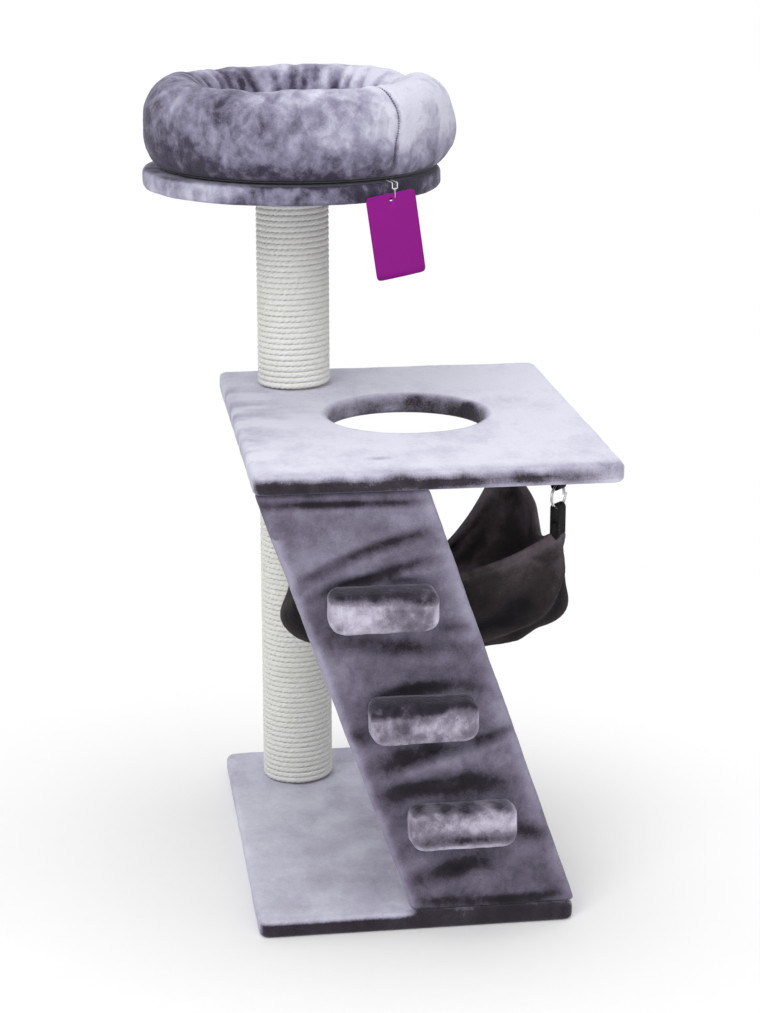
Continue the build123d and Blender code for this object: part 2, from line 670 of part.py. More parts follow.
def bolster_ring(inset):
    """Bolster smaller than the covered bolster by the inset: crowned, drawn in towards a flat foot."""
    half_foot = BOLSTER_FOOT_WIDTH / 2
    half_width = BOLSTER_WIDTH / 2 - inset
    flank = half_width - half_foot
    rise = BOLSTER_HEIGHT - BOLSTER_WIDEST_HEIGHT - inset
    fall = BOLSTER_WIDEST_HEIGHT - inset
    widest = BOLSTER_WIDEST_HEIGHT
    inner_foot = BOLSTER_MIDDLE - half_foot
    outer_foot = BOLSTER_MIDDLE + half_foot
    crown = EllipticalCenterArc((BOLSTER_MIDDLE, widest), half_width, rise, start_angle=0, arc_size=180)
    outer = EllipticalCenterArc((outer_foot, widest), flank, fall, start_angle=270, arc_size=90)
    inner = EllipticalCenterArc((inner_foot, widest), flank, fall, start_angle=180, arc_size=90)
    foot = Line((inner_foot, inset), (outer_foot, inset))
    return revolve(BED_PLANE * make_face([crown, outer, inner, foot]), BED_AXIS)


bolster_filling = bolster_ring(BED_CLOTH)
bolster_cover = bolster_ring(0) - bolster_filling
pad_radius = BED_INNER_RADIUS - SOFT_GAP
crown_radius = (pad_radius**2 + BED_PAD_CROWN**2) / (2 * BED_PAD_CROWN)
crown_centre = BED_PAD_SIDE + BED_PAD_CROWN - crown_radius
half_spread = asin(pad_radius / crown_radius) / 2
crown_middle = (crown_radius * sin(half_spread), crown_centre + crown_radius * cos(half_spread))
pad_outline = [
    Line((0, 0), (pad_radius, 0)),
    Line((pad_radius, 0), (pad_radius, BED_PAD_SIDE)),
    ThreePointArc((pad_radius, BED_PAD_SIDE), crown_middle, (0, BED_PAD_SIDE + BED_PAD_CROWN)),
    Line((0, BED_PAD_SIDE + BED_PAD_CROWN), (0, 0)),
]
bed_pad = revolve(BED_PLANE * make_face(pad_outline), BED_AXIS)
bed_pad = fillet(bed_pad.edges().filter_by(GeomType.CIRCLE), BED_PAD_ROUNDING)
bottom_radius = BOLSTER_MIDDLE + BOLSTER_FOOT_WIDTH / 2
bed_bottom_cloth = rod((BED_X, BED_Y, BED_BOTTOM), (0, 0, -1), 2 * bottom_radius, BED_BOTTOM_CLOTH)


def patches(bottom):
    """Ring of small flat patches standing on one height."""
    found = []
    for index in range(PATCH_COUNT):
        turn = Rot(0, 0, 360 / PATCH_COUNT * (index + 0.5))
        place = Pos(PATCH_CIRCLE_RADIUS, 0, bottom + PATCH_THICKNESS / 2)
        patch = Pos(BED_X, BED_Y, 0) * turn * place * Box(PATCH_WIDTH, PATCH_LENGTH, PATCH_THICKNESS)
        found.append(patch)
    return found


save("bolster_filling", bolster_filling)
save("bolster_cover", bolster_cover)
save("bed_pad", bed_pad)
save("bed_bottom_cloth", bed_bottom_cloth)
save("hook_patches", *patches(DISC_TOP))
save("loop_patches", *patches(DISC_TOP + PATCH_THICKNESS + FIT))
save("disc_board", disc_board)
save("disc_cover", disc_cover)

# Swing tag: a thread eye over the round panel's rim, a thin loop on it and the card in the loop
FACING = Vector(sin(radians(TAG_FACING_ANGLE)), -cos(radians(TAG_FACING_ANGLE)), 0)
ALONG_EYE = Vector(cos(radians(TAG_FACING_ANGLE)), sin(radians(TAG_FACING_ANGLE)), 0)
EYE_SIDEWAYS = DISC_RADIUS * sin(radians(TAG_RIM_ANGLE - TAG_FACING_ANGLE))
nearest_tag_edge = EYE_SIDEWAYS - TAG_WIDTH / 2
rim_before_tag = (DISC_RADIUS**2 - nearest_tag_edge**2) ** 0.5
LOOP_TURN_RADIUS = (THREAD_DIAMETER + TAG_LOOP_DIAMETER) / 2 + FIT
EYE_OUT = rim_before_tag + LOOP_TURN_RADIUS + TAG_LOOP_DIAMETER
THREAD_HEIGHT = DISC_TOP + THREAD_DIAMETER / 2 + FIT
EYE_HEIGHT = THREAD_HEIGHT - THREAD_EYE_DROP


def near_tag(sideways, outward, height):
    """Point beside the tag: sideways along its face, outward from the posts' axis, at a height."""
    axis = Vector(POST_X, POST_Y, height)
    return axis + ALONG_EYE * (EYE_SIDEWAYS + sideways) + FACING * outward


def round_tube(path, diameter):
    """Thread or thin moulded loop along a path."""
    return sweep(Plane(origin=path @ 0, z_dir=path % 0) * Circle(diameter / 2), path=path)


half_eye = THREAD_EYE_WIDTH / 2
thread_start = EYE_OUT - THREAD_LENGTH_ON_PANEL
eye_route = [
    near_tag(-half_eye, thread_start, THREAD_HEIGHT),
    near_tag(-half_eye, EYE_OUT, THREAD_HEIGHT),
    near_tag(-half_eye, EYE_OUT, EYE_HEIGHT),
    near_tag(half_eye, EYE_OUT, EYE_HEIGHT),
    near_tag(half_eye, EYE_OUT, THREAD_HEIGHT),
    near_tag(half_eye, thread_start, THREAD_HEIGHT),
]
save("tag_thread", round_tube(FilletPolyline(*eye_route, radius=THREAD_BEND_RADIUS), THREAD_DIAMETER))

loop_top = near_tag(0, EYE_OUT, EYE_HEIGHT)
loop_bottom = near_tag(0, EYE_OUT, EYE_HEIGHT - TAG_LOOP_DROP)
out = FACING * LOOP_TURN_RADIUS
up = Vector(0, 0, LOOP_TURN_RADIUS)
loop_path = Wire(
    [
        Edge.make_line(loop_top + out, loop_bottom + out),
        Edge.make_three_point_arc(loop_bottom + out, loop_bottom - up, loop_bottom - out),
        Edge.make_line(loop_bottom - out, loop_top - out),
        Edge.make_three_point_arc(loop_top - out, loop_top + up, loop_top + out),
    ]
)
save("tag_loop", round_tube(loop_path, TAG_LOOP_DIAMETER))

hole_rest = LOOP_TURN_RADIUS - TAG_LOOP_DIAMETER / 2 - FIT
hole_middle = loop_bottom - Vector(0, 0, hole_rest + TAG_HOLE_DIAMETER / 2)
card_plane = Plane(origin=hole_middle, x_dir=ALONG_EYE, z_dir=FACING).rotated((0, 0, TAG_LEAN))
card_shape = Pos(0, TAG_HOLE_BELOW_TOP - TAG_HEIGHT / 2) * RectangleRounded(
    TAG_WIDTH, TAG_HEIGHT, TAG_CORNER_RADIUS
)
card_shape -= Circle(TAG_HOLE_DIAMETER / 2)
save("tag_card", extrude(card_plane * card_shape, amount=TAG_THICKNESS / 2, both=True))
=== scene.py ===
"""Looks of a cat tree: plush panels, rope-wound posts, a round stuffed bed, a hung hammock and a swing tag.

Metres, Z up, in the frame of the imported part."""

import math

import bpy
import numpy as np
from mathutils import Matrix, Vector, noise
from mathutils.bvhtree import BVHTree


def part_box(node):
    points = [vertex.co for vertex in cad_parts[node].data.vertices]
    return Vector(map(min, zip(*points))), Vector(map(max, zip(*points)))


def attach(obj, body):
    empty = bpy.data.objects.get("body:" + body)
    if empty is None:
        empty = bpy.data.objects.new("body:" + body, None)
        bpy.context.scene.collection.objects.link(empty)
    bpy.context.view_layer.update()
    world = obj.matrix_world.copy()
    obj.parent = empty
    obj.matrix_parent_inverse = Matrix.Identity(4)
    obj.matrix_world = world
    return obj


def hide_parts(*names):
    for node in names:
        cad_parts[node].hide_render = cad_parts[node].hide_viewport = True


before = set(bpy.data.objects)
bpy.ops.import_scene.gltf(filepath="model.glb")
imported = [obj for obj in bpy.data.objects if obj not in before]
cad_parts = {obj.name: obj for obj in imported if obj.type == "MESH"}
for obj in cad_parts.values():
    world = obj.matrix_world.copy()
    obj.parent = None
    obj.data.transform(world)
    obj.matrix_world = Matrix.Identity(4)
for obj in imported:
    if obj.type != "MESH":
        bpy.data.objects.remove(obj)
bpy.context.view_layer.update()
scene = bpy.context.scene
chance = np.random.default_rng(7)

# Sizes that the part's boxes don't give. ROPE_START is an angle, and ROPE_SPREAD a share.
PLUSH = 0.003
EDGE = 0.006
PANEL_CORNER = 0.012
HEM = 0.045
HEM_THICKNESS = 0.002
HOLE_RADIUS = 0.094
HOLE_BACK = 0.008
LIP = 0.003
BOLT_PLACES = ((-0.1495, -0.195), (-0.0395, -0.195))
BOLT_WAY = 0.00405
RECESS_RADIUS = 0.014
RAMP_WIDTH = 0.186
SCREW_SPREAD = 0.035
STEP_ROUND = 0.012
STEP_LOWER_ROUND = 0.017
STEP_BOW = 0.0022
ROPE_DIAMETER = 0.0062
ROPE_PITCH = 0.0067
ROPE_LAY = 0.0205
ROPE_START = 2.2
ROPE_SPREAD = 1.36
STRAND_RADIUS = 0.0021
FOOT_GAP = 0.0003
BOLSTER_HALF = 0.042
BOLSTER_FOOT = 0.020
BOLSTER_WIDEST = 0.050
WEBBING_WIDTH = 0.015
WEBBING_THICKNESS = 0.0014
LOOP_RADIUS = 0.0042
TAB_FLANGE = 0.014
TAB_DROP = 0.013
TAB_BEND = 0.0016
BOX_HALF = 0.0055
STITCH_PITCH = 0.0044
GRIP_HALF = (0.0125, 0.025)
GRIP_REACH = 0.12


def span(node):
    """Lowest corner, highest corner and middle of a node, as arrays."""
    low, high = (np.array(corner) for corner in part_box(node))
    return low, high, (low + high) / 2


class Shade:
    """A value that changes over a surface: one output of a finish's nodes. Sums with it add Math nodes."""

    def __init__(self, finish, socket):
        self.finish = finish
        self.socket = socket

    def __add__(self, other):
        return self.finish.calc("ADD", self, other)

    def __sub__(self, other):
        return self.finish.calc("SUBTRACT", self, other)

    def __mul__(self, other):
        return self.finish.calc("MULTIPLY", self, other)

    __radd__ = __add__


class Finish:
    """The nodes of one material, or of the studio's light, and the few groups of them that are shared."""

    def __init__(self, owner):
        owner.use_nodes = True
        self.owner = owner
        self.tree = owner.node_tree
        self.tree.nodes.clear()

    def node(self, kind, settings=None, sockets=None, output=0):
        """Add a node, with its settings first and then the value or link of each socket. Gives one output."""
        made = self.tree.nodes.new("ShaderNode" + kind)
        for setting, value in (settings or {}).items():
            if setting == "stops":
                while len(made.color_ramp.elements) < len(value):
                    made.color_ramp.elements.new(1)
                for element, (place, colour) in zip(made.color_ramp.elements, value):
                    element.position = place
                    element.color = (*colour, 1)
            else:
                setattr(made, setting, value)
        for place, value in (sockets or {}).items():
            if isinstance(value, Shade):
                self.tree.links.new(value.socket, made.inputs[place])
            else:
                made.inputs[place].default_value = value
        return Shade(self, made.outputs[output]) if made.outputs else None

    def calc(self, operation, *values):
        return self.node("Math", {"operation": operation}, dict(enumerate(values)))

    def place(self):
        return self.node("TexCoord", output="Object")

    def stretch(self, place, factors):
        return self.node("VectorMath", {"operation": "MULTIPLY"}, {0: place, 1: factors})

    def spots(self, place, size, detail, wander=0.0):
        """Soft noise whose spots are about one size across."""
        sockets = {"Vector": place, "Scale": 1 / size, "Detail": detail, "Distortion": wander}
        return self.node("TexNoise", {}, sockets)

    def painted(self, name):
        """A value that the piece's own points carry."""
        return self.node("Attribute", {"attribute_name": name}, {}, "Fac")

    def eased(self, value, low, high):
        """0 below low, 1 above high, smooth between."""
        return self.node("MapRange", {"interpolation_type": "SMOOTHSTEP"}, {0: value, 1: low, 2: high})

    def blend(self, share, first, second):
        return self.node("Mix", {"data_type": "RGBA"}, {0: share, 6: first, 7: second}, 2)

    def colours(self, value, stops):
        return self.node("ValToRGB", {"stops": stops}, {0: value})

    def relief(self, height, depth, strength):
        return self.node("Bump", {}, {"Height": height, "Distance": depth, "Strength": strength})

    def surface(self, sockets):
        shader = self.node("BsdfPrincipled", {}, sockets)
        self.node("OutputMaterial", {}, {"Surface": shader})
        return self.owner


def new_finish(name):
    return Finish(bpy.data.materials.new(name))


def tone(red, green, blue):
    """A colour as screens write it, 0 to 255, turned into light."""
    def light(value):
        value /= 255
        return value / 12.92 if value <= 0.04045 else ((value + 0.055) / 1.055) ** 2.4
    return tuple(light(value) for value in (red, green, blue))


def full(colour):
    return (*colour, 1)


def plush_finish(name, pale, middle, deep, patch, mottle):
    """Short brushed pile: patches that lie either way, tufts, single fibres and a soft sheen. The value
    painted on each point sets the lie of the pile and also carries painted shade and painted highlights.
    """
    cloth = new_finish(name)
    place = cloth.place()
    patches = cloth.eased(cloth.spots(place, patch, 3.0, 0.6), 0.26, 0.74)
    strokes = cloth.eased(cloth.spots(cloth.stretch(place, (1.0, 0.6, 0.8)), patch / 3, 2.0, 0.5), 0.26, 0.74)
    tufts = cloth.spots(place, 0.007, 2.0, 0.4)
    fibres = cloth.spots(place, 0.0017, 1.0)
    # The painted value carries the lie of the pile together with painted shade and highlights; noise is added
    # to it
    lie = cloth.painted("nap") + (patches - 0.5) * (mottle * 0.55) + (strokes - 0.5) * (mottle * 0.38)
    lie = lie + (tufts - 0.5) * 0.18 + (fibres - 0.5) * 0.20
    deepest = tuple(light * 0.55 for light in deep)
    colour = cloth.colours(lie, [(0.0, deepest), (0.16, deep), (0.5, middle), (0.9, pale)])
    height = fibres * 0.5 + tufts * 0.5
    return cloth.surface({
        "Base Color": colour,
        "Roughness": 0.82 + fibres * 0.16,
        "Sheen Weight": 0.35,
        "Sheen Roughness": 0.45,
        "Sheen Tint": full(pale),
        "Specular IOR Level": 0.15,
        "Normal": cloth.relief(height, 0.0022, 0.75),
    })


def sisal_finish():
    """Bleached sisal: pale fibres along each strand, some yellower, and painted shade between the strands."""
    rope = new_finish("sisal")
    along = rope.painted("along")
    around = rope.painted("around")
    groove = rope.painted("groove")
    fibre_place = rope.node("CombineXYZ", {}, {0: along * 90, 1: around * 2600, 2: along * 7})
    fibres = rope.spots(fibre_place, 1.0, 3.0)
    stain = rope.spots(rope.place(), 0.05, 3.0)
    tones = [(0.25, tone(232, 231, 224)), (0.5, tone(246, 246, 241)), (0.75, tone(252, 252, 250))]
    colour = rope.colours(fibres, tones)
    colour = rope.blend(rope.eased(stain, 0.5, 0.75) * 0.3, colour, full(tone(230, 231, 220)))
    colour = rope.blend(groove * 0.16, colour, full(tone(214, 213, 206)))
    return rope.surface({
        "Base Color": colour,
        "Roughness": 0.7 + fibres * 0.25,
        "Specular IOR Level": 0.2,
        "Normal": rope.relief(fibres, 0.0006, 0.8),
    })


def webbing_finish():
    """Black woven nylon band: ribs across it, broken by the warp threads."""
    band = new_finish("black_webbing")
    along = band.painted("along")
    across = band.painted("across")
    rib_pitch, warp_pitch = 0.0016, 0.0011
    ribs = band.calc("SINE", along * (2 * math.pi / rib_pitch)) * 0.5 + 0.5
    warp = band.calc("SINE", across * (2 * math.pi / warp_pitch) + ribs * 2) * 0.5 + 0.5
    weave = ribs * 0.6 + warp * 0.4
    dust = band.spots(band.place(), 0.006, 3.0)
    tones = [(0.2, tone(5, 5, 6)), (0.6, tone(14, 14, 15)), (0.95, tone(30, 30, 32))]
    colour = band.colours(weave * 0.7 + dust * 0.3, tones)
    return band.surface({
        "Base Color": colour,
        "Roughness": 0.6 + weave * 0.25,
        "Specular IOR Level": 0.2,
        "Normal": band.relief(weave, 0.0004, 0.9),
    })


def metal_finish(name, bright, dull, smooth, rough, grain):
    """Bare or plated steel: cloudy tarnish and fine scratches in its gloss."""
    metal = new_finish(name)
    place = metal.place()
    cloud = metal.spots(place, 0.012, 4.0, 0.5)
    scratch = metal.spots(metal.stretch(place, (1.0, 1.0, 9.0)), grain, 3.0)
    colour = metal.blend(metal.eased(cloud, 0.35, 0.75), full(bright), full(dull))
    return metal.surface({
        "Base Color": colour,
        "Metallic": 1.0,
        "Roughness": smooth + scratch * rough,
        "Normal": metal.relief(scratch, 0.0001, 0.4),
    })


def board_finish(name, light, dark, chip):
    """Pressed board or turned wood: chips or grain in two tones."""
    board = new_finish(name)
    place = board.place()
    grain = board.spots(board.stretch(place, (1.0, 0.25, 1.0)), chip, 4.0, 0.7)
    dots = board.spots(place, chip / 5, 2.0)
    colour = board.colours(grain * 0.7 + dots * 0.3, [(0.3, dark), (0.7, light)])
    return board.surface({
        "Base Color": colour,
        "Roughness": 0.7 + dots * 0.2,
        "Normal": board.relief(grain + dots * 0.4, 0.0004, 0.5),
    })


def cloth_finish(name, light, dark, thread):
    """Plain thin cloth or felt: crossing threads and a little fluff."""
    cloth = new_finish(name)
    place = cloth.place()
    across = cloth.spots(cloth.stretch(place, (0.2, 1.0, 1.0)), thread, 2.0)
    along = cloth.spots(cloth.stretch(place, (1.0, 0.2, 1.0)), thread, 2.0)
    fluff = cloth.spots(place, 0.02, 3.0)
    weave = across * 0.5 + along * 0.5
    colour = cloth.colours(weave * 0.7 + fluff * 0.3, [(0.3, dark), (0.7, light)])
    return cloth.surface({
        "Base Color": colour,
        "Roughness": 0.8 + weave * 0.15,
        "Sheen Weight": 0.2,
        "Normal": cloth.relief(weave, 0.0005, 0.7),
    })


def card_finish():
    """Purple coated card, bare: a fine paper tooth under a thin gloss."""
    card = new_finish("purple_card")
    place = card.place()
    tooth = card.spots(place, 0.0009, 2.0)
    cloud = card.spots(place, 0.03, 3.0)
    colour = card.blend(cloud * 0.6, full(tone(132, 10, 124)), full(tone(142, 16, 134)))
    return card.surface({
        "Base Color": colour,
        "Roughness": 0.42 + tooth * 0.14,
        "Specular IOR Level": 0.15,
        "Normal": card.relief(tooth, 0.00008, 0.5),
    })


def plastic_finish(name, colour, shade, clear):
    """Moulded or spun nylon: faint flow marks."""
    nylon = new_finish(name)
    flow = nylon.spots(nylon.place(), 0.002, 3.0)
    return nylon.surface({
        "Base Color": nylon.blend(flow, full(colour), full(shade)),
        "Roughness": 0.3 + flow * 0.2,
        "Transmission Weight": clear,
        "Normal": nylon.relief(flow, 0.0002, 0.4),
    })


# Plush: pale, middle and deep colour, the size of its patches and how mottled it is. The ramp's copy is
# darker, painted shade on its upright face.
PLUSH_LOOKS = {
    "panel": ((218, 218, 232), (168, 164, 184), (58, 51, 60), 0.085, 0.30),
    "ramp": ((156, 151, 171), (108, 102, 120), (48, 43, 51), 0.06, 0.36),
    "step": ((206, 200, 219), (122, 116, 132), (52, 47, 58), 0.030, 0.40),
    "bed": ((206, 205, 221), (144, 140, 163), (66, 60, 78), 0.042, 0.58),
    "hammock": ((94, 85, 90), (48, 42, 44), (21, 19, 22), 0.06, 0.40),
}
finishes = {
    "sisal": sisal_finish(),
    "webbing": webbing_finish(),
    "ring": metal_finish("ring_steel", tone(226, 226, 228), tone(176, 176, 180), 0.12, 0.14, 0.0015),
    "zinc": metal_finish("zinc_steel", tone(206, 208, 212), tone(150, 152, 158), 0.26, 0.25, 0.002),
    "board": board_finish("pressed_board", tone(196, 164, 120), tone(142, 108, 70), 0.006),
    "wood": board_finish("turned_wood", tone(222, 190, 142), tone(186, 146, 98), 0.014),
    "tube": board_finish("grey_card_tube", tone(182, 170, 150), tone(146, 134, 116), 0.01),
    "backing": cloth_finish("grey_backing_cloth", tone(96, 94, 100), tone(60, 58, 64), 0.0016),
    "grip": cloth_finish("black_hook_and_loop", tone(52, 50, 54), tone(18, 17, 19), 0.0012),
    "card": card_finish(),
    "clear": plastic_finish("clear_nylon", tone(244, 244, 246), tone(226, 226, 230), 0.6),
    "thread": plastic_finish("white_thread", tone(246, 246, 246), tone(222, 222, 226), 0.0),
    "seam": plastic_finish("violet_thread", tone(98, 84, 116), tone(72, 60, 88), 0.0),
    "stitch": plastic_finish("black_thread", tone(40, 40, 42), tone(18, 18, 20), 0.0),
}
for kind, (pale, middle, deep, patch, mottle) in PLUSH_LOOKS.items():
    finishes[kind] = plush_finish("plush_" + kind, tone(*pale), tone(*middle), tone(*deep), patch, mottle)


# Meshes
def make_piece(name, points, faces, finish, painted=None):
    """A smooth mesh object from points and faces, with values painted on its points."""
    mesh = bpy.data.meshes.new(name)
    mesh.from_pydata(np.asarray(points).tolist(), [], [tuple(map(int, face)) for face in faces])
    mesh.polygons.foreach_set("use_smooth", np.ones(len(mesh.polygons), bool))
    mesh.materials.append(finishes[finish])
    piece = bpy.data.objects.new(name, mesh)
    scene.collection.objects.link(piece)
    for label, values in (painted or {}).items():
        paint(piece, label, values)
    return piece


def paint(piece, label, values):
    """Put a value on each point. The painted lie of the pile, which also carries painted shade and
    highlights, stays where its fibres still show.
    """
    if label == "nap":
        values = np.clip(values, 0.05, 1.0)
    layer = piece.data.attributes.get(label) or piece.data.attributes.new(label, "FLOAT", "POINT")
    layer.data.foreach_set("value", np.asarray(values, np.float32))


def vectors_of(layer, label):
    found = np.empty(len(layer) * 3, np.float32)
    layer.foreach_get(label, found)
    return found.reshape(-1, 3).astype(float)


def points_of(piece):
    return vectors_of(piece.data.vertices, "co")


def normals_of(piece):
    return vectors_of(piece.data.vertex_normals, "vector")


def move_points(piece, points):
    piece.data.vertices.foreach_set("co", np.asarray(points, np.float32).ravel())
    piece.data.update()


def lumps(points, size, seed):
    """Soft noise between about -1 and 1 at each point."""
    shift = Vector((seed * 3.17, seed * 1.91, seed * 2.53))
    return np.array([noise.noise(Vector(point) / size + shift) for point in points])


def bump(value, centre, spread):
    """1 at the centre, fading to nothing either side of it."""
    return np.exp(-(((value - centre) / spread) ** 2))


def grade(value, start, width):
    """0 up to the start, 1 from one width past it, straight between. A width below 0 runs the other way."""
    return np.clip((value - start) / width, 0, 1)


def circle(count):
    """Directions all round, level."""
    angles = np.arange(count) / count * 2 * math.pi
    return np.column_stack([np.cos(angles), np.sin(angles)])


def at_height(flat, height):
    """Flat points set at one height."""
    return np.column_stack([flat, np.full(len(flat), height)])


def between(first, last, shares):
    """Rows of points part of the way from one row to another."""
    return [first * (1 - share) + last * share for share in shares]


def run_and_side(path):
    """Unit directions along a flat path, and to the left of it."""
    run = np.gradient(path, axis=0)
    run /= np.linalg.norm(run, axis=1)[:, None]
    return run, np.column_stack([-run[:, 1], run[:, 0]])


def edge_arc(radius, top, start, end, steps=4):
    """Inset and height along a rounded edge whose centre is one radius inside the outline, by angle from
    level."""
    angles = np.radians(np.linspace(start, end, steps + 1))
    return [(radius - radius * math.cos(a), top - radius + radius * math.sin(a)) for a in angles]


def bend(centre, radii, start, end, count):
    """Points of an arc, by angle from level."""
    angles = np.radians(np.linspace(start, end, count))
    return [(centre[0] + radii[0] * math.cos(a), centre[1] + radii[1] * math.sin(a)) for a in angles]


def unit_grid(columns, rows):
    """Points of a grid from -1 to 1 each way, and their numbers in its rows."""
    across, along = np.meshgrid(np.linspace(-1, 1, columns), np.linspace(-1, 1, rows))
    return np.column_stack([across.ravel(), along.ravel()]), np.arange(columns * rows).reshape(rows, columns)


def grid_rim(number):
    """Point numbers round the rim of a grid."""
    return np.concatenate([number[0, :-1], number[:-1, -1], number[-1, :0:-1], number[:0:-1, 0]])


def grid_faces(number):
    """Quads of a grid of point numbers."""
    return np.stack([number[:-1, :-1], number[:-1, 1:], number[1:, 1:], number[1:, :-1]], 2).reshape(-1, 4)


def ring_faces(first, second):
    """Quads between two closed rows of point numbers."""
    return np.stack([first, second, np.roll(second, -1), np.roll(first, -1)], 1)


def tube_faces(count, sides):
    """Quads along a tube of closed rows of points, and the caps of its ends."""
    number = np.arange(count * sides).reshape(count, sides)
    after = np.roll(number, -1, 1)
    walls = np.stack([number[:-1], number[1:], after[1:], after[:-1]], 2).reshape(-1, 4)
    return walls, [number[0], number[-1][::-1]]


def outline_points(fractions, half, corner):
    """Points of a rectangle with rounded corners, from their fractions of its half sides."""
    spread = fractions * half
    core = np.clip(spread, -(half - corner), half - corner)
    rest = spread - core
    widest = np.abs(rest).max(1)
    length = np.maximum(np.linalg.norm(rest, axis=1), 1e-12)
    return core + rest * (widest / length)[:, None]


def panel_skin(half, corner, cells, profile):
    """A closed skin from its profile, (inset, height) pairs from the middle of one face to that of the other.
    Gives its points, its faces and the step of the profile that each point is on."""
    grid, number = unit_grid(cells[0] + 1, cells[1] + 1)
    rim = grid_rim(number)
    half = np.array(half, float)
    points, faces, steps = [], [], []
    row = None
    for step, (inset, height) in enumerate(profile):
        ends = step in (0, len(profile) - 1)
        flat = outline_points(grid if ends else grid[rim], half - inset, max(corner - inset, 0.0005))
        start = len(steps)
        points.append(at_height(flat, height))
        steps += [step] * len(flat)
        new_row = start + (rim if ends else np.arange(len(rim)))
        if row is not None:
            faces.append(ring_faces(row, new_row))
        row = new_row
        if ends:
            patch = start + grid_faces(number)
            faces.append(patch if step == 0 else patch[:, ::-1])
    return np.concatenate(points), np.concatenate(faces), np.array(steps)


def ring_skin(rows):
    """A closed skin from rows of points that go round an opening, the last joined to the first."""
    count = len(rows[0])
    faces = []
    for step in range(len(rows)):
        first = step * count + np.arange(count)
        second = ((step + 1) % len(rows)) * count + np.arange(count)
        faces.append(ring_faces(first, second))
    return np.concatenate(rows), np.concatenate(faces)


def shelled(points, faces, inner_points, inner_faces):
    """An outer skin and the hollow inside it as one mesh."""
    hollow = inner_faces[:, ::-1] + len(points)
    return np.concatenate([points, inner_points]), np.concatenate([faces, hollow])


def fluff(piece, outer, seed, height=0.0007):
    """Uneven thickness of the pile on the outer points."""
    points = points_of(piece)
    amount = lumps(points, 0.05, seed) * height + lumps(points, 0.012, seed + 1) * height * 0.45
    move_points(piece, points + normals_of(piece) * (amount * outer)[:, None])


def folds_on(flat, folds, deepest):
    """Folds in a cover, each a bent line with a width, a depth and a shade. Gives how far each flat point
    rises, or sinks at the deepest, and its painted shade: darker in each fold's valley, a little lighter on
    its ridges."""
    rise = np.zeros(len(flat))
    dark = np.zeros(len(flat))
    fine = np.linspace(0, 1, 40)
    for line, width, depth, shade in folds:
        knots = np.array(line)
        share = np.linspace(0, 1, len(knots))
        curves = [np.polyfit(share, axis, len(knots) - 1) for axis in knots.T]
        bent = np.column_stack([np.polyval(curve, fine) for curve in curves])
        run, side = run_and_side(bent)
        gap = flat[:, None, :] - bent[None]
        near = np.argmin((gap**2).sum(2), 1)
        gap = gap[np.arange(len(flat)), near]
        off = (gap * side[near]).sum(1)
        past = (gap * run[near]).sum(1)
        fade = np.sin(math.pi * (0.04 + 0.92 * fine[near])) ** 0.8 * bump(past, 0, 2 * width)
        ridge = bump(off, -2.1 * width, 1.5 * width) + 0.5 * bump(off, 2 * width, 1.4 * width)
        rise += fade * depth * (ridge - 0.6 * bump(off, 0, width))
        dark += fade * shade * (bump(off, 0, 1.5 * width) - 0.22 * ridge)
    return np.maximum(rise, -deepest), np.minimum(dark, 0.6)


# Plush panels
def base_plush():
    low, high, _ = span("base_cover")
    half = (high - low)[:2] / 2
    top = high[2]
    foot = 0.005
    outer = [(EDGE + 0.004, top)] + edge_arc(EDGE, top, 90, 0) + [(0, top / 2)]
    outer += [(foot - foot * math.cos(a), foot - foot * math.sin(a)) for a in np.radians((0, 30, 60, 90))]
    outer += [(0.02, 0), (HEM - 0.002, 0), (HEM, HEM_THICKNESS / 2)]
    inner = [(HEM, HEM_THICKNESS), (0.02, HEM_THICKNESS), (PLUSH + 0.002, HEM_THICKNESS), (PLUSH, foot)]
    inner += [(PLUSH, top - 0.007), (PLUSH + 0.003, top - PLUSH), (EDGE + 0.004, top - PLUSH)]
    points, faces, steps = panel_skin(half, PANEL_CORNER, (72, 100), outer + inner)
    x, y, z = points.T
    nap = 0.76 + 0.14 * lumps(points, 0.12, 3) + 0.07 * lumps(points * (0.5, 1.3, 1), 0.03, 4)
    # Painted shade: the sides darker, most in front, towards the right and in blotches; the top darker at the
    # foot of the ramp and in a painted shadow of the ramp and the platform
    side = grade(z, top - 0.001, -0.005)
    front = grade(y, 0.010 - half[1], -0.008)
    shade_blotch = np.clip(0.75 + 0.5 * lumps(points, 0.07, 9) + 0.25 * lumps(points, 0.02, 12), 0, 1)
    nap -= side * (0.10 + front * (0.30 + 0.34 * grade(x, -half[0], 0.2) + 0.20 * shade_blotch))
    ramp_foot_shade = grade(x, half[0] - 0.190, 0.012) * grade(y, 0.014 - half[1], -0.005)
    nap -= 0.56 * ramp_foot_shade * (1 - side)
    ramp_shadow = bump(x, 0.05, 0.12) * bump(y, -0.02, 0.16)
    nap -= 0.22 * ramp_shadow
    skin = (steps < len(outer)) & (z > 0.004)
    piece = make_piece("base_plush", points, faces, "panel", {"nap": nap})
    fluff(piece, skin, 1)
    return piece


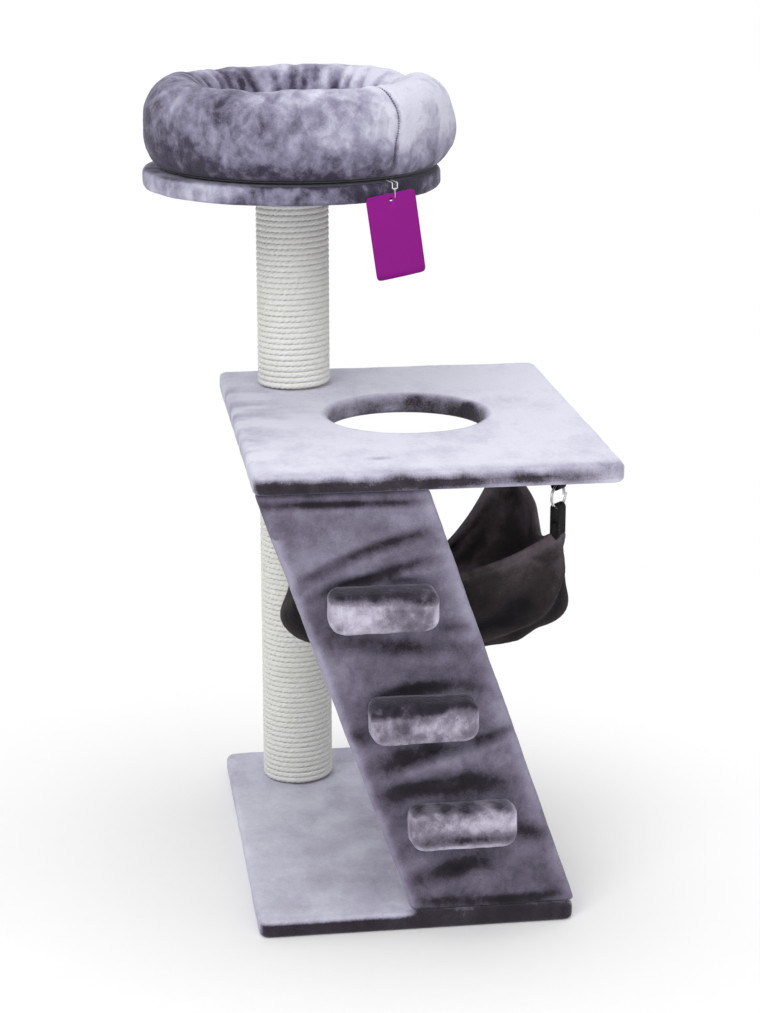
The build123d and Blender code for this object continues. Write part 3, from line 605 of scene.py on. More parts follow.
def platform_rows(half, corner, middle, hole, inset, bottom, top):
    """Rows of points round the platform: out over its top from the hole, down its edge, back under it."""
    count = 300
    edge = EDGE - inset
    straight = 2 * (half - corner)
    arc = corner * math.pi / 2
    lengths = [straight[0], arc, straight[1], arc] * 2
    quarter_turn = np.array([[0, -1], [1, 0]])
    outline, normals = [], []
    for place in np.arange(count) / count * sum(lengths):
        for part, length in enumerate(lengths):
            if place <= length:
                break
            place -= length
        quarter = part // 2
        spin = np.linalg.matrix_power(quarter_turn, quarter)
        size = half if quarter % 2 == 0 else half[::-1]
        if part % 2 == 0:
            point = np.array([-(size[0] - corner) + place, -size[1]])
            normal = np.array([0.0, -1.0])
        else:
            angle = -math.pi / 2 + place / corner
            normal = np.array([math.cos(angle), math.sin(angle)])
            point = np.array([size[0] - corner, -(size[1] - corner)]) + corner * normal
        outline.append(spin @ point)
        normals.append(spin @ normal)
    outline, normals = np.array(outline), np.array(normals)
    towards = outline - hole
    towards /= np.linalg.norm(towards, axis=1)[:, None]
    radius = HOLE_RADIUS + inset
    low, high = bottom + inset, top - inset

    def outer_row(depth, height):
        return at_height(outline - normals * (inset + depth), height)

    def hole_row(depth, height):
        return at_height(hole + towards * (radius + depth), height)

    shares = np.linspace(0, 1, 30)[1:-1]
    rows = [hole_row(0, (low + high) / 2)]
    rows += [hole_row(depth, height) for depth, height in edge_arc(edge, high, 0, 90)]
    rows += between(rows[-1], outer_row(edge, high), shares)
    rows += [outer_row(depth, height) for depth, height in edge_arc(edge, high, 90, 0)]
    rows += [outer_row(0, (low + high) / 2)]
    rows += [outer_row(depth, low + high - height) for depth, height in edge_arc(edge, high, 0, 90)]
    rows += between(rows[-1], hole_row(edge, low), shares)
    rows += [hole_row(depth, low + high - height) for depth, height in edge_arc(edge, high, 90, 0)]
    return [row + (middle[0], middle[1], 0) for row in rows]


def platform_plush():
    low, high, middle = span("platform_cover")
    half = (high - low)[:2] / 2
    hole = np.array([0, HOLE_BACK])
    outer = ring_skin(platform_rows(half, PANEL_CORNER, middle, hole, 0, low[2], high[2]))
    inner = ring_skin(platform_rows(half, PANEL_CORNER, middle, hole, PLUSH, low[2], high[2]))
    points, faces = shelled(*outer, *inner)
    skin = np.arange(len(points)) < len(outer[0])
    x, y, z = points.T
    nap = 0.89 + 0.11 * lumps(points, 0.11, 5)
    # Painted shade on the edges, darkest in front and in blotches, with a wavy upper border, and on the top
    # near the front
    wave = 0.003 * lumps(points * (1, 0, 0), 0.03, 13) + 0.002 * lumps(points * (1, 0, 0), 0.011, 14)
    side = grade(z - wave, high[2] - 0.002, -0.008)
    front = grade(y, 0.010 - half[1], -0.008)
    leftward = grade(x, 0.06, -0.12)
    shade_blotch = 0.52 + 0.30 * leftward + 0.5 * lumps(points, 0.05, 8) + 0.25 * lumps(points, 0.016, 10)
    nap -= side * (0.16 + front * (0.32 + 0.40 * np.clip(shade_blotch, 0, 1)))
    near_front = grade(y, 0.030 - half[1], -0.026) ** 2
    nap -= (0.26 + 0.10 * grade(x, 0.06, 0.10)) * (1 - side) * near_front
    nap += 0.36 * side * front * grade(x, 0.165, 0.035)
    nap += 0.30 * front * (1 - leftward) * grade(z, low[2] + 0.007, -0.005)
    # Hole: its wall painted darker, painted shade, most towards the right
    from_hole = np.hypot(x - middle[0], y - HOLE_BACK)
    wall = grade(from_hole, HOLE_RADIUS + 0.006, -0.005)
    nap -= wall * (0.29 + 0.18 * np.clip(0.5 + 0.8 * lumps(points, 0.03, 6), 0, 1))
    nap -= 0.14 * wall * grade(x, middle[0], 0.06)
    # Strokes and notches at the left, and painted shade in the dent over a bolt
    strokes = np.clip(0.4 + lumps(points * (0.6, 1.6, 1), 0.03, 11), 0, 1)
    nap -= 0.36 * bump(x, -0.17, 0.07) * bump(y, 0.06, 0.11) * strokes
    notches = np.clip(0.1 + lumps(points * (0.6, 1.4, 1), 0.022, 15), 0, 1)
    nap -= 0.30 * notches * bump(x, -0.172, 0.016) * grade(y, -0.21, 0.05)
    nap -= 0.40 * bump(x, -0.038, 0.012) * bump(y, -0.192, 0.0045) * (z > high[2] - 0.002)
    lip = skin * bump(from_hole, HOLE_RADIUS, 0.010)
    inward = np.column_stack([middle[0] - x, HOLE_BACK - y]) / from_hole[:, None]
    points[:, :2] += inward * (LIP * lip * wall)[:, None]
    points[:, 2] -= LIP * lip * grade(z, middle[2], -0.006)
    piece = make_piece("platform_plush", points, faces, "panel", {"nap": nap})
    fluff(piece, skin & (z > low[2] + 0.002), 2)
    points = points_of(piece)
    for bolt_x, bolt_y in BOLT_PLACES:
        near = np.hypot(points[:, 0] - bolt_x, points[:, 1] - bolt_y)
        points[:, 2] -= 0.0004 * bump(near, 0, 0.008) * (points[:, 2] > high[2] - 0.002)
    move_points(piece, points)
    return piece


def disc_plush():
    low, high, middle = span("disc_cover")
    radius = (high - low)[0] / 2
    bottom, top = low[2], high[2]
    flat_radius, inside = radius - EDGE, radius - PLUSH
    shares = np.linspace(0, 1, 22)
    profile = [(RECESS_RADIUS + (flat_radius - RECESS_RADIUS) * share, top) for share in shares]
    profile += [(radius - depth, height) for depth, height in edge_arc(EDGE, top, 90, 0)[1:]]
    profile += [(radius, (top + bottom) / 2)]
    profile += [(radius - depth, top + bottom - height) for depth, height in edge_arc(EDGE, top, 0, 90)]
    profile += [(flat_radius - (flat_radius - BOLT_WAY) * share, bottom) for share in shares[1:]]
    outer_steps = len(profile)
    profile += [(BOLT_WAY, bottom + PLUSH), (0.09, bottom + PLUSH), (inside - 0.003, bottom + PLUSH)]
    profile += [(inside, bottom + 0.006), (inside, top - 0.006), (inside - 0.003, top - PLUSH)]
    profile += [(0.09, top - PLUSH), (RECESS_RADIUS, top - PLUSH)]
    around = circle(240)
    points, faces = ring_skin([at_height(middle[:2] + around * reach, height) for reach, height in profile])
    step = np.repeat(np.arange(len(profile)), len(around))
    x, y, z = points.T
    side = 1 - grade(z, bottom + 0.004, top - bottom - 0.007)
    nap = 0.66 - 0.06 * side + 0.18 * lumps(points, 0.05, 21) + 0.12 * lumps(points, 0.018, 22)
    # Painted shade: darker towards the right, and over the whole top as the bolster's shadow
    nap -= 0.44 * grade(x, middle[0] - 0.13, 0.16)
    nap -= 0.26 * grade(z, top - 0.002, 0.002)
    piece = make_piece("disc_plush", points, faces, "bed", {"nap": nap})
    reach = np.hypot(x - middle[0], y - middle[1])
    fluff(piece, (step < outer_steps) & (reach > 0.05) & ((z < top - 0.001) | (reach > 0.17)), 3)
    return piece


# Climbing board: folds that run between the steps, as (line, width, depth, shade) on its face. The shade is
# painted shade, also standing for the shadows under the steps and the platform's edge.
RAMP_FOLDS = [
    (((-0.135, 0.404), (-0.063, 0.440), (0.020, 0.463)), 0.00492, 0.0038, 0.46),
    (((-0.115, 0.393), (-0.036, 0.418), (0.034, 0.432)), 0.004264, 0.0030, 0.38),
    (((-0.090, 0.404), (-0.040, 0.408), (0.014, 0.403)), 0.00451, 0.0024, 0.34),
    (((-0.114, 0.350), (-0.024, 0.336), (0.072, 0.327)), 0.0082, 0.0026, 0.40),
    (((0.008, 0.353), (0.040, 0.353), (0.070, 0.348)), 0.00697, 0.0022, 0.30),
    (((-0.060, 0.268), (0.004, 0.284), (0.080, 0.282)), 0.00615, 0.0032, 0.44),
    (((-0.080, 0.239), (-0.062, 0.233), (-0.042, 0.231)), 0.00738, 0.0022, 0.40),
    (((0.058, 0.217), (0.084, 0.226), (0.108, 0.237)), 0.005084, 0.0028, 0.36),
    (((-0.054, 0.182), (0.005, 0.207), (0.070, 0.222)), 0.006396, 0.0036, 0.46),
    (((-0.046, 0.200), (-0.004, 0.213), (0.036, 0.218)), 0.0082, 0.0026, 0.36),
    (((-0.040, 0.156), (0.024, 0.171), (0.104, 0.170)), 0.00902, 0.0038, 0.58),
    (((0.106, 0.112), (0.130, 0.108), (0.152, 0.107)), 0.00779, 0.0022, 0.36),
    (((-0.016, 0.051), (0.040, 0.069), (0.090, 0.082)), 0.007544, 0.0032, 0.46),
    (((-0.002, 0.031), (0.090, 0.028), (0.178, 0.030)), 0.00451, 0.0024, 0.36),
    (((-0.172, 0.4975), (-0.085, 0.496), (0.004, 0.4945)), 0.002788, 0.0026, 0.50),
    (((-0.150, 0.470), (-0.100, 0.478), (-0.060, 0.474)), 0.00738, 0.0012, 0.12),
    (((-0.020, 0.300), (0.030, 0.306), (0.080, 0.300)), 0.0082, 0.0014, 0.16),
]


def ramp_plush():
    low, high, _ = span("ramp_cover")
    bottom, top = low[2], high[2]
    back, front = high[1], low[1]
    depth = back - front
    base_low, base_high, _ = span("base_cover")
    lean = (base_high[0] - base_low[0] - RAMP_WIDTH) / (top - bottom)
    half = np.array([RAMP_WIDTH, top - bottom]) / 2

    def skin_of(inset, cells):
        edge = EDGE - inset
        face = [(edge + 0.003, depth / 2 - inset)] + edge_arc(edge, depth / 2 - inset, 90, 0)
        rear = [(reach, -height) for reach, height in reversed(face)]
        return panel_skin(half - inset, edge, cells, face + [(0, 0)] + rear)

    def stand_up(flat):
        height = (bottom + top) / 2 + flat[:, 1]
        across = low[0] + half[0] + lean * (top - height) + flat[:, 0]
        return np.column_stack([across, (front + back) / 2 - flat[:, 2], height])

    outer, outer_faces, _ = skin_of(0, (84, 224))
    inner, inner_faces, _ = skin_of(PLUSH, (20, 50))
    points, faces = shelled(stand_up(outer), outer_faces, stand_up(inner), inner_faces)
    skin = np.arange(len(points)) < len(outer)
    x, y, z = points.T
    rise, dark = folds_on(np.column_stack([x, z]), RAMP_FOLDS, 0.0022)
    dark *= np.clip(0.90 + 0.36 * lumps(points * (0.6, 1, 1), 0.013, 33), 0.2, 1.2)
    on_front = skin * grade(y, front + 0.004, -0.003)
    left_edge = low[0] + lean * (top - z)
    right_edge = left_edge + RAMP_WIDTH
    inside = grade(np.minimum(x - left_edge, right_edge - x), 0, 0.02)
    points[:, 1] -= rise * on_front * inside
    # Painted shade in the folds and under the platform's edge, painted highlights along both side edges;
    # lighter higher up
    nap = 0.39 + 0.36 * z + 0.14 * lumps(points, 0.07, 31) - dark * on_front
    nap += 0.42 * bump(x, left_edge, 0.008) * (z < 0.46)
    nap += 0.24 * bump(x, right_edge, 0.014)
    nap -= 0.18 * grade(z, top - 0.022, 0.008)
    piece = make_piece("ramp_plush", points, faces, "ramp", {"nap": nap})
    fluff(piece, skin, 4)
    points = points_of(piece)
    for name in STEPS:
        step_x, _, step_z = span("step_cover_" + name)[2]
        for screw_x in (step_x - SCREW_SPREAD, step_x + SCREW_SPREAD):
            near = np.hypot(points[:, 0] - screw_x, points[:, 2] - step_z)
            sink = grade(near, 0.011, -0.005) * skin * (points[:, 1] > back - 0.002)
            points[:, 1] -= 0.0027 * sink
    move_points(piece, points)
    return piece


# Steps: paleness, depth of the dark top at each end, and (across, spread, up, spread, paler) patches
STEPS = ("upper", "middle", "lower")
STEP_LOOKS = {
    "upper": (0.53, 0.009, 0.017, (
        (-0.55, 0.50, 0.022, 0.014, 0.28),
        (0.40, 0.30, 0.020, 0.020, -0.12),
        (0.95, 0.08, 0.026, 0.030, 0.24),
    )),
    "middle": (0.50, 0.017, 0.010, (
        (-0.85, 0.20, 0.022, 0.020, 0.12),
        (-0.38, 0.16, 0.024, 0.016, -0.26),
        (0.40, 0.60, 0.020, 0.012, 0.08),
    )),
    "lower": (0.50, 0.004, 0.003, (
        (0.50, 0.70, 0.034, 0.008, 0.20),
        (0.15, 0.85, 0.014, 0.006, -0.36),
        (0.00, 1.50, 0.004, 0.003, 0.10),
    )),
}


def step_plush(name, seed):
    low, high, middle = span("step_cover_" + name)
    size = high - low
    half = np.array([size[0], size[2]]) / 2
    depth = size[1]
    outer = [(STEP_ROUND + 0.002, depth)] + edge_arc(STEP_ROUND, depth, 90, 0, 6)
    outer += [(-0.0008, depth * 0.45), (-0.0004, depth * 0.25), (0.0005, 0.0)]
    lining = edge_arc(STEP_ROUND - PLUSH, depth - PLUSH, 0, 90, 3)
    inner = [(PLUSH, 0.0)] + [(PLUSH + reach, height) for reach, height in lining]
    inner += [(STEP_ROUND + 0.002, depth - PLUSH)]
    points, faces, steps = panel_skin(half, STEP_ROUND, (46, 22), outer + inner)
    skin = steps < len(outer)
    inset = np.array([reach for reach, _ in outer + inner])[steps]
    past = np.abs(points[:, :2]) - (half - STEP_LOWER_ROUND)
    low_corner = skin & (past.min(1) > 0) & (points[:, 1] < 0)
    reach = np.maximum(STEP_LOWER_ROUND - inset, 0.003) / np.maximum(np.hypot(*past.T), 1e-9)
    rounded = np.sign(points[:, :2]) * (half - STEP_LOWER_ROUND + past * np.minimum(reach, 1)[:, None])
    points[:, :2] = np.where(low_corner[:, None], rounded, points[:, :2])
    wide, tall, out = points.T
    share, height = wide / half[0], tall + half[1]
    bow = STEP_BOW * (share**2 + (tall / half[1]) ** 2) / 2
    out -= np.where(skin & (out > depth - 0.004), bow, 0)
    stood = np.column_stack([middle[0] + wide, high[1] - out, middle[2] + tall])
    pale, left_depth, right_depth, patches = STEP_LOOKS[name]
    dark_depth = left_depth + (right_depth - left_depth) * (share + 1) / 2
    shade_edge = 2 * half[1] - dark_depth - 0.005 * lumps(stood * (1, 0, 0), 0.02, seed + 1)
    front = grade(out, depth - 0.014, 0.006)
    nap = pale + 0.12 * lumps(stood, 0.022, seed) + 0.05 * lumps(stood, 0.009, seed + 2)
    for across, across_spread, up, up_spread, paler in patches:
        nap += paler * bump(share, across, across_spread) * bump(height, up, up_spread)
    nap -= 0.42 * grade(height, shade_edge, 0.007)
    nap += 0.12 * front * bump(height, 0.004, 0.004)
    nap += 0.14 * bump((1 - np.abs(share)) * half[0], 0, 0.006) * (height < shade_edge)
    piece = make_piece("step_plush_" + name, stood, faces, "step", {"nap": nap})
    fluff(piece, skin & (out > 0.002), seed, 0.0016)
    return piece


# Sisal on the posts
def rope_on(post):
    """Three strands laid up as one rope and wound close up the whole post, with a map of its turns."""
    low, high, middle = span(post + "_tube")
    radius = (high - low)[0] / 2 + FOOT_GAP + ROPE_DIAMETER / 2
    room = high[2] - low[2] - ROPE_DIAMETER - 2 * FOOT_GAP
    turns = round(room / ROPE_PITCH)
    per_turn = 100
    count = turns * per_turn + 1
    wound = np.arange(count) / per_turn
    angle = wound * 2 * math.pi + ROPE_START
    out = np.column_stack([np.cos(angle), np.sin(angle), np.zeros(count)])
    drift = 0.00025 * np.array([noise.noise(Vector((turn * 0.9, low[2] * 7, 0.3))) for turn in wound])
    centre = out * radius + (middle[0], middle[1], 0)
    centre[:, 2] = low[2] + FOOT_GAP + ROPE_DIAMETER / 2 + room * wound / turns + drift
    offset = ROPE_DIAMETER / 2 - STRAND_RADIUS
    around = np.array([-60, -32, 0, 32])
    local = np.radians(np.concatenate([around + 120 * strand for strand in range(3)]))
    within = np.radians(np.tile(around, 3))
    reach = offset * np.cos(within) + np.sqrt(STRAND_RADIUS**2 - (offset * np.sin(within)) ** 2)
    length = wound * 2 * math.pi * radius
    turned = (length / ROPE_LAY * 2 * math.pi)[:, None] + local
    points = centre[:, None, :] + (reach * np.cos(turned))[:, :, None] * out[:, None, :]
    points[:, :, 2] += ROPE_SPREAD * reach * np.sin(turned)
    sides = len(local)
    faces, caps = tube_faces(count, sides)
    painted = {
        "along": np.repeat(length, sides),
        "around": np.tile(local * ROPE_DIAMETER / 2, count),
        "groove": np.tile((reach.max() - reach) / np.ptp(reach), count),
    }
    rope = make_piece(post + "_sisal", points.reshape(-1, 3), [*faces, *caps], "sisal", painted)
    map_turns(rope, faces, caps, per_turn, sides, turns)
    return rope


def map_turns(rope, faces, caps, per_turn, sides, turns):
    """Lay the turns out on the bake's map, one strip above the other."""
    layer = rope.data.uv_layers.new(name="OFBake")
    step, side = np.divmod(faces[:, 0], sides)
    turn, place = step // per_turn, (step % per_turn) / per_turn
    left, right = place, place + 1 / per_turn
    low = (turn + side / sides * 0.94) / turns
    high = (turn + (side + 1) / sides * 0.94) / turns
    corners = np.stack([left, low, right, low, right, high, left, high], 1).reshape(-1, 2)
    last = np.full((sum(len(cap) for cap in caps), 2), 0.999)
    layer.uv.foreach_set("vector", np.concatenate([corners, last]).astype(np.float32).ravel())


# Cloth that is simulated
def settle(piece, frames, pressure, gravity, cap, pins, stiffness, bending, slack=None):
    """Run Blender's cloth on a piece, hold each point within the cap of where it began, and keep the result.
    Slack gives the points of a looser form of the cloth, which is the one that it keeps its lengths from."""
    before = points_of(piece)
    cloth = piece.modifiers.new("cloth", "CLOTH")
    settings = cloth.settings
    settings.quality = 6
    settings.mass = 0.3
    settings.air_damping = 3.0
    settings.tension_stiffness = stiffness
    settings.compression_stiffness = stiffness
    settings.shear_stiffness = stiffness / 3
    settings.bending_stiffness = bending
    settings.effector_weights.gravity = gravity
    settings.use_pressure = pressure != 0
    settings.uniform_pressure_force = pressure
    cloth.collision_settings.use_collision = False
    cloth.point_cache.frame_start = 1
    cloth.point_cache.frame_end = frames
    group = piece.vertex_groups.new(name="held")
    group.add([int(pin) for pin in pins], 1.0, "REPLACE")
    settings.vertex_group_mass = "held"
    if slack is not None:
        piece.shape_key_add(name="hung")
        looser = piece.shape_key_add(name="slack")
        looser.data.foreach_set("co", slack.astype(np.float32).ravel())
        settings.rest_shape_key = looser
    for step in range(1, frames + 1):
        scene.frame_set(step)
    settled = piece.evaluated_get(bpy.context.evaluated_depsgraph_get())
    moved = points_of(settled) - before
    piece.modifiers.remove(cloth)
    scene.frame_set(1)
    if slack is not None:
        piece.shape_key_clear()
    length = np.maximum(np.linalg.norm(moved, axis=1), 1e-9)
    move_points(piece, before + moved * np.minimum(1, cap / length)[:, None])


# Bed: bulges of the bolster as (degrees round from the front, spread, size)
BOLSTER_BULGES = ((282, 16, 0.0035), (78, 18, 0.0045), (112, 10, -0.0040), (180, 30, 0.0015))
SEAM_ANGLE = 32.5


def seam_at(level):
    """Where the bolster's closing seam is at a level, in degrees round from the front."""
    return SEAM_ANGLE + 2.0 * np.sin((level - 0.03) * 22)


def bolster_section(height):
    """Points of the bolster's section, (across, up), with room left for its swelling."""
    room, floor = 0.004, 0.001
    wide, tall = BOLSTER_HALF - room, height - BOLSTER_WIDEST - room
    low_radii = (wide - BOLSTER_FOOT, BOLSTER_WIDEST - floor)
    section = bend((0, BOLSTER_WIDEST), (wide, tall), 0, 180, 31)[:-1]
    section += bend((-BOLSTER_FOOT, BOLSTER_WIDEST), low_radii, 180, 270, 12)[:-1]
    section += [(BOLSTER_FOOT * (2 * share - 1), floor) for share in np.linspace(0, 1, 8)[:-1]]
    section += bend((BOLSTER_FOOT, BOLSTER_WIDEST), low_radii, 270, 360, 12)[:-1]
    return np.array(section)


def bed_bolster():
    """Ring of stuffed plush, swelled, puckered inside and drawn in at its closing seam."""
    low, high, middle = span("bolster_cover")
    bottom, height = low[2], high[2] - low[2]
    ring = (high - low)[0] / 2 - BOLSTER_HALF
    section = bolster_section(height)
    count = 220
    turn = np.arange(count) / count * 2 * math.pi
    reach = ring + section[:, 0]
    points = np.zeros((count, len(section), 3))
    points[:, :, 0] = middle[0] + np.sin(turn)[:, None] * reach
    points[:, :, 1] = middle[1] - np.cos(turn)[:, None] * reach
    points[:, :, 2] = bottom + section[:, 1]
    number = np.arange(count * len(section)).reshape(count, -1)
    following = np.roll(number, -1, 0)
    faces = np.stack([number, following, np.roll(following, -1, 1), np.roll(number, -1, 1)], 2)
    flat = points.reshape(-1, 3)
    angle = np.degrees(np.repeat(turn, len(section)))
    side, level = np.tile(section, (count, 1)).T
    piece = make_piece("bed_bolster", flat, faces.reshape(-1, 4), "bed")
    lift = grade(flat[:, 2], bottom + 0.004, 0.02)
    swelling = 0.0055 * lumps(flat, 0.075, 41) + 0.0024 * lumps(flat, 0.03, 42)
    for centre, wide, size in BOLSTER_BULGES:
        swelling += size * bump(angle, centre, wide)
    flat = flat + normals_of(piece) * (swelling * lift)[:, None]
    move_points(piece, flat)
    feet = np.flatnonzero(flat[:, 2] < bottom + 0.003)
    settle(piece, 16, 5.0, 0.0, 0.007, feet, 18.0, 0.6)
    # Puckers on the inner side, with painted shade in their valleys
    rise = np.zeros(len(flat))
    dark = np.zeros(len(flat))
    inner = grade(side, 0.012, -0.02) * grade(level, 0.02, 0.03) * grade(level, height + 0.012, -0.03)
    place = 4.0
    while place < 356:
        strength = 0.34 + 0.66 * bump(place, 150, 38) + 0.3 * bump(place, 215, 22)
        strength *= chance.uniform(0.6, 1.15)
        slant = chance.uniform(-0.25, 0.25)
        width = chance.uniform(0.0032, 0.0055)
        off = np.radians(angle - place) * (ring - BOLSTER_HALF) - slant * (level - 0.07)
        pucker = 0.0026 * bump(off, 0, 2.4 * width) - 0.0062 * bump(off, 0, width)
        rise += inner * strength * pucker
        dark = np.maximum(dark, 0.55 * inner * strength * bump(off, 0, 1.2 * width))
        place += chance.uniform(6.5, 15.0)
    # Closing seam
    off = np.radians(angle - seam_at(level)) * (ring + np.maximum(side, 0))
    on_seam = grade(side, -0.022, 0.02) * grade(level, 0.006, 0.02)
    rise += on_seam * (0.0012 * bump(off, 0, 0.014) - 0.0036 * bump(off, 0, 0.004))
    flat = points_of(piece) + normals_of(piece) * rise[:, None]
    flat[:, 2] = np.clip(flat[:, 2], bottom + 0.0004, high[2] + 0.004)
    move_points(piece, flat)
    # Pile: paler towards the seam and past it, lighter towards the right; painted shade low on the outside,
    # in the puckers, along the seam and on the rear inner wall; painted light along the top
    pale_panel = 0.8 * grade(angle, 6, 26) + 0.2 * grade(angle, SEAM_ANGLE + 1, 4)
    pale_panel *= grade(angle, 150, -25)
    nap = 0.48 + 0.17 * lumps(flat, 0.055, 44) + 0.11 * lumps(flat, 0.02, 47)
    nap += 0.18 * np.sin(np.radians(angle))
    nap = nap * (1 - pale_panel) + (0.86 + 0.14 * lumps(flat, 0.05, 45)) * pale_panel
    back_wall = grade(side, 0.005, -0.02) * bump(angle, 215, 62)
    nap += 0.06 * inner - 0.02 * back_wall - dark
    nap -= 0.45 * on_seam * bump(off, 0, 0.0026)
    nap *= 1 - 0.74 * grade(level, 0.056, -0.056) * grade(side, -0.03, 0.02)
    nap += 0.14 * grade(level, 0.075, 0.03)
    paint(piece, "nap", nap)
    fluff(piece, lift, 46, 0.0009)
    return piece


def bolster_seam(bolster):
    """Stitches along the bolster's closing seam, laid on its skin."""
    low, high, middle = span("bolster_cover")
    bolster.data.calc_loop_triangles()
    surface = BVHTree.FromObject(bolster, bpy.context.evaluated_depsgraph_get())
    ring = (high - low)[0] / 2 - BOLSTER_HALF
    line = []
    for tilt in np.radians(np.linspace(-52, 128, 84)):
        at = math.radians(seam_at(BOLSTER_WIDEST * (1 + math.sin(tilt))))
        out = Vector((math.sin(at), -math.cos(at), 0))
        heart = Vector((middle[0], middle[1], low[2] + BOLSTER_WIDEST)) + out * ring
        direction = out * math.cos(tilt) + Vector((0, 0, math.sin(tilt)))
        hit = surface.ray_cast(heart + direction * 0.12, -direction)[0]
        if hit is not None:
            line.append((hit, direction))
    return stitch_row("bolster_seam", line, 0.0009, "seam")


# One stitch: rows of its thread as shares of its length and of its thickness
STITCH_ROWS = ((0.0, 0.35), (0.2, 0.9), (0.5, 1.0), (0.8, 0.9), (1.0, 0.35))
STITCH_SIDES = 6


def stitch_row(name, line, radius, finish):
    """Short thread stitches on a line of (point, outward direction) pairs, every second gap left open."""
    points, faces = [], []
    walls, caps = tube_faces(len(STITCH_ROWS), STITCH_SIDES)
    for (start, lift), (end, _) in zip(line[:-1:2], line[1::2]):
        run = (end - start).normalized()
        beside = run.cross(lift).normalized()
        above = beside.cross(run).normalized()
        faces += [face + len(points) for face in [*walls, *caps]]
        for share, size in STITCH_ROWS:
            centre = start.lerp(end, share) + above * (radius * (0.2 + 0.5 * math.sin(math.pi * share)))
            for side in range(STITCH_SIDES):
                angle = 2 * math.pi * side / STITCH_SIDES
                out = beside * math.cos(angle) + above * math.sin(angle)
                points.append(centre + out * (radius * size))
    return make_piece(name, [tuple(point) for point in points], faces, finish)


def bed_cushion():
    """Loose pad that fills the ring of the bolster."""
    low, high, middle = span("bed_pad")
    radius = (high - low)[0] / 2 + 0.004
    bottom, top = low[2] + 0.0008, high[2]
    rim, side = 0.014, bottom + 0.011
    profile = [(rim, side + 0.011)]
    profile += [(rim - rim * math.sin(a), side + 0.010 * math.cos(a)) for a in np.radians((25, 50, 75, 100))]
    profile += [(0.002, bottom + 0.004), (0.007, bottom + 0.001), (rim, bottom)]
    points, faces, steps = panel_skin((radius, radius), radius, (44, 44), profile)
    reach = np.clip(np.linalg.norm(points[:, :2], axis=1) / (radius - rim), 0, 1)
    points[:, 2] += np.where(steps == 0, (top - side - 0.013) * (1 - reach**2), 0)
    points[:, :2] += middle[:2]
    piece = make_piece("bed_cushion", points, faces, "bed")
    flat = np.flatnonzero(steps == len(profile) - 1)
    settle(piece, 14, 3.0, 0.0, 0.004, flat, 20.0, 0.8)
    points = points_of(piece)
    points[:, 2] = np.maximum(points[:, 2], bottom)
    move_points(piece, points)
    fluff(piece, steps == 0, 51, 0.0012)
    paint(piece, "nap", 0.54 + 0.25 * lumps(points, 0.05, 52))
    return piece


# Hammock: its folds are (line, width, depth, shade) on the cloth, from -1 to 1 each way; the shade is painted
# shade in each fold
CORNERS = ("front_left", "front_right", "rear_left", "rear_right")
CLOTH_FOLDS = [
    (((0.97, -0.86), (0.70, -0.62), (0.34, -0.46)), 0.050, 0.0080, 0.34),
    (((0.84, -0.97), (0.30, -0.66), (-0.30, -0.62)), 0.050, 0.0036, 0.26),
    (((0.97, -0.80), (0.80, -0.40), (0.72, 0.00)), 0.050, 0.0036, 0.26),
    (((-0.90, -0.88), (-0.60, -0.56), (-0.25, -0.42)), 0.060, 0.0040, 0.28),
    (((-0.97, -0.80), (-0.82, -0.40), (-0.74, 0.05)), 0.050, 0.0036, 0.24),
    (((0.90, 0.90), (0.60, 0.58), (0.30, 0.40)), 0.060, 0.0040, 0.28),
    (((-0.90, 0.90), (-0.60, 0.56), (-0.30, 0.42)), 0.060, 0.0040, 0.28),
    (((0.80, 0.97), (0.20, 0.70), (-0.50, 0.72)), 0.050, 0.0034, 0.22),
]
POUCH_BOTTOM = 0.291
RIM_SAG = {"left": 0.028, "right": 0.028, "front": 0.034, "rear": 0.116}
WALL_TURN = {"left": math.radians(95), "right": math.radians(105), "ends": math.radians(98)}
CORNER_LEVEL = 0.90


def hammock_shape(u, v, middle, half, rim_height):
    """Pouch that hangs low at its rear rim, with upright walls, a belly at each side and a flat bottom."""
    size = np.maximum(np.maximum(np.abs(u), np.abs(v)), 1e-9)
    lesser = np.minimum(np.abs(u), np.abs(v)) / size
    down = np.clip(size * (1 + lesser**4) ** (0.25 * (1 - size)), 0, 1)
    left, right, deep = (np.sin(down * turn) / math.sin(turn) for turn in WALL_TURN.values())
    across, along = u / size, v / size
    corner = 1 - 0.85 * along**4
    left += 0.50 * bump(down, 0.58, 0.19) * corner * np.clip(0.55 - 0.45 * along, 0, 1)
    right += 0.27 * bump(down, 0.64, 0.15) * corner + 0.09 * bump(down, 0.9, 0.1)
    wide = np.where(u > 0, right, left)
    side_sag = np.where(u > 0, RIM_SAG["right"], RIM_SAG["left"])
    end_sag = np.where(v > 0, RIM_SAG["rear"], RIM_SAG["front"])
    on_side = np.abs(u) >= np.abs(v)
    place = np.clip(np.where(on_side, along, across) / CORNER_LEVEL, -1, 1)
    sag = np.where(on_side, side_sag, end_sag) * (1 - np.abs(place) ** np.where(v > 0, 2.6, 2.0))
    climb = (1 - np.cos(down * math.pi / 2)) ** 1.5
    z = POUCH_BOTTOM + (rim_height - sag - POUCH_BOTTOM) * climb
    bow = 0.021 * np.clip(u, 0, 1) ** 6 * bump(v, 0.50, 0.50) * (1 - np.clip(v, 0, 1) ** 8)
    return np.column_stack([middle[0] + half[0] * across * wide + bow, middle[1] + half[1] * along * deep, z])


def eased_grid(points, rows, columns, times):
    """Smooth the inside of a grid of points and leave its rim."""
    grid = points.reshape(rows, columns, 3).copy()
    for _ in range(times):
        around = grid[:-2, 1:-1] + grid[2:, 1:-1] + grid[1:-1, :-2] + grid[1:-1, 2:]
        grid[1:-1, 1:-1] = grid[1:-1, 1:-1] * 0.5 + around * 0.125
    return grid.reshape(-1, 3)


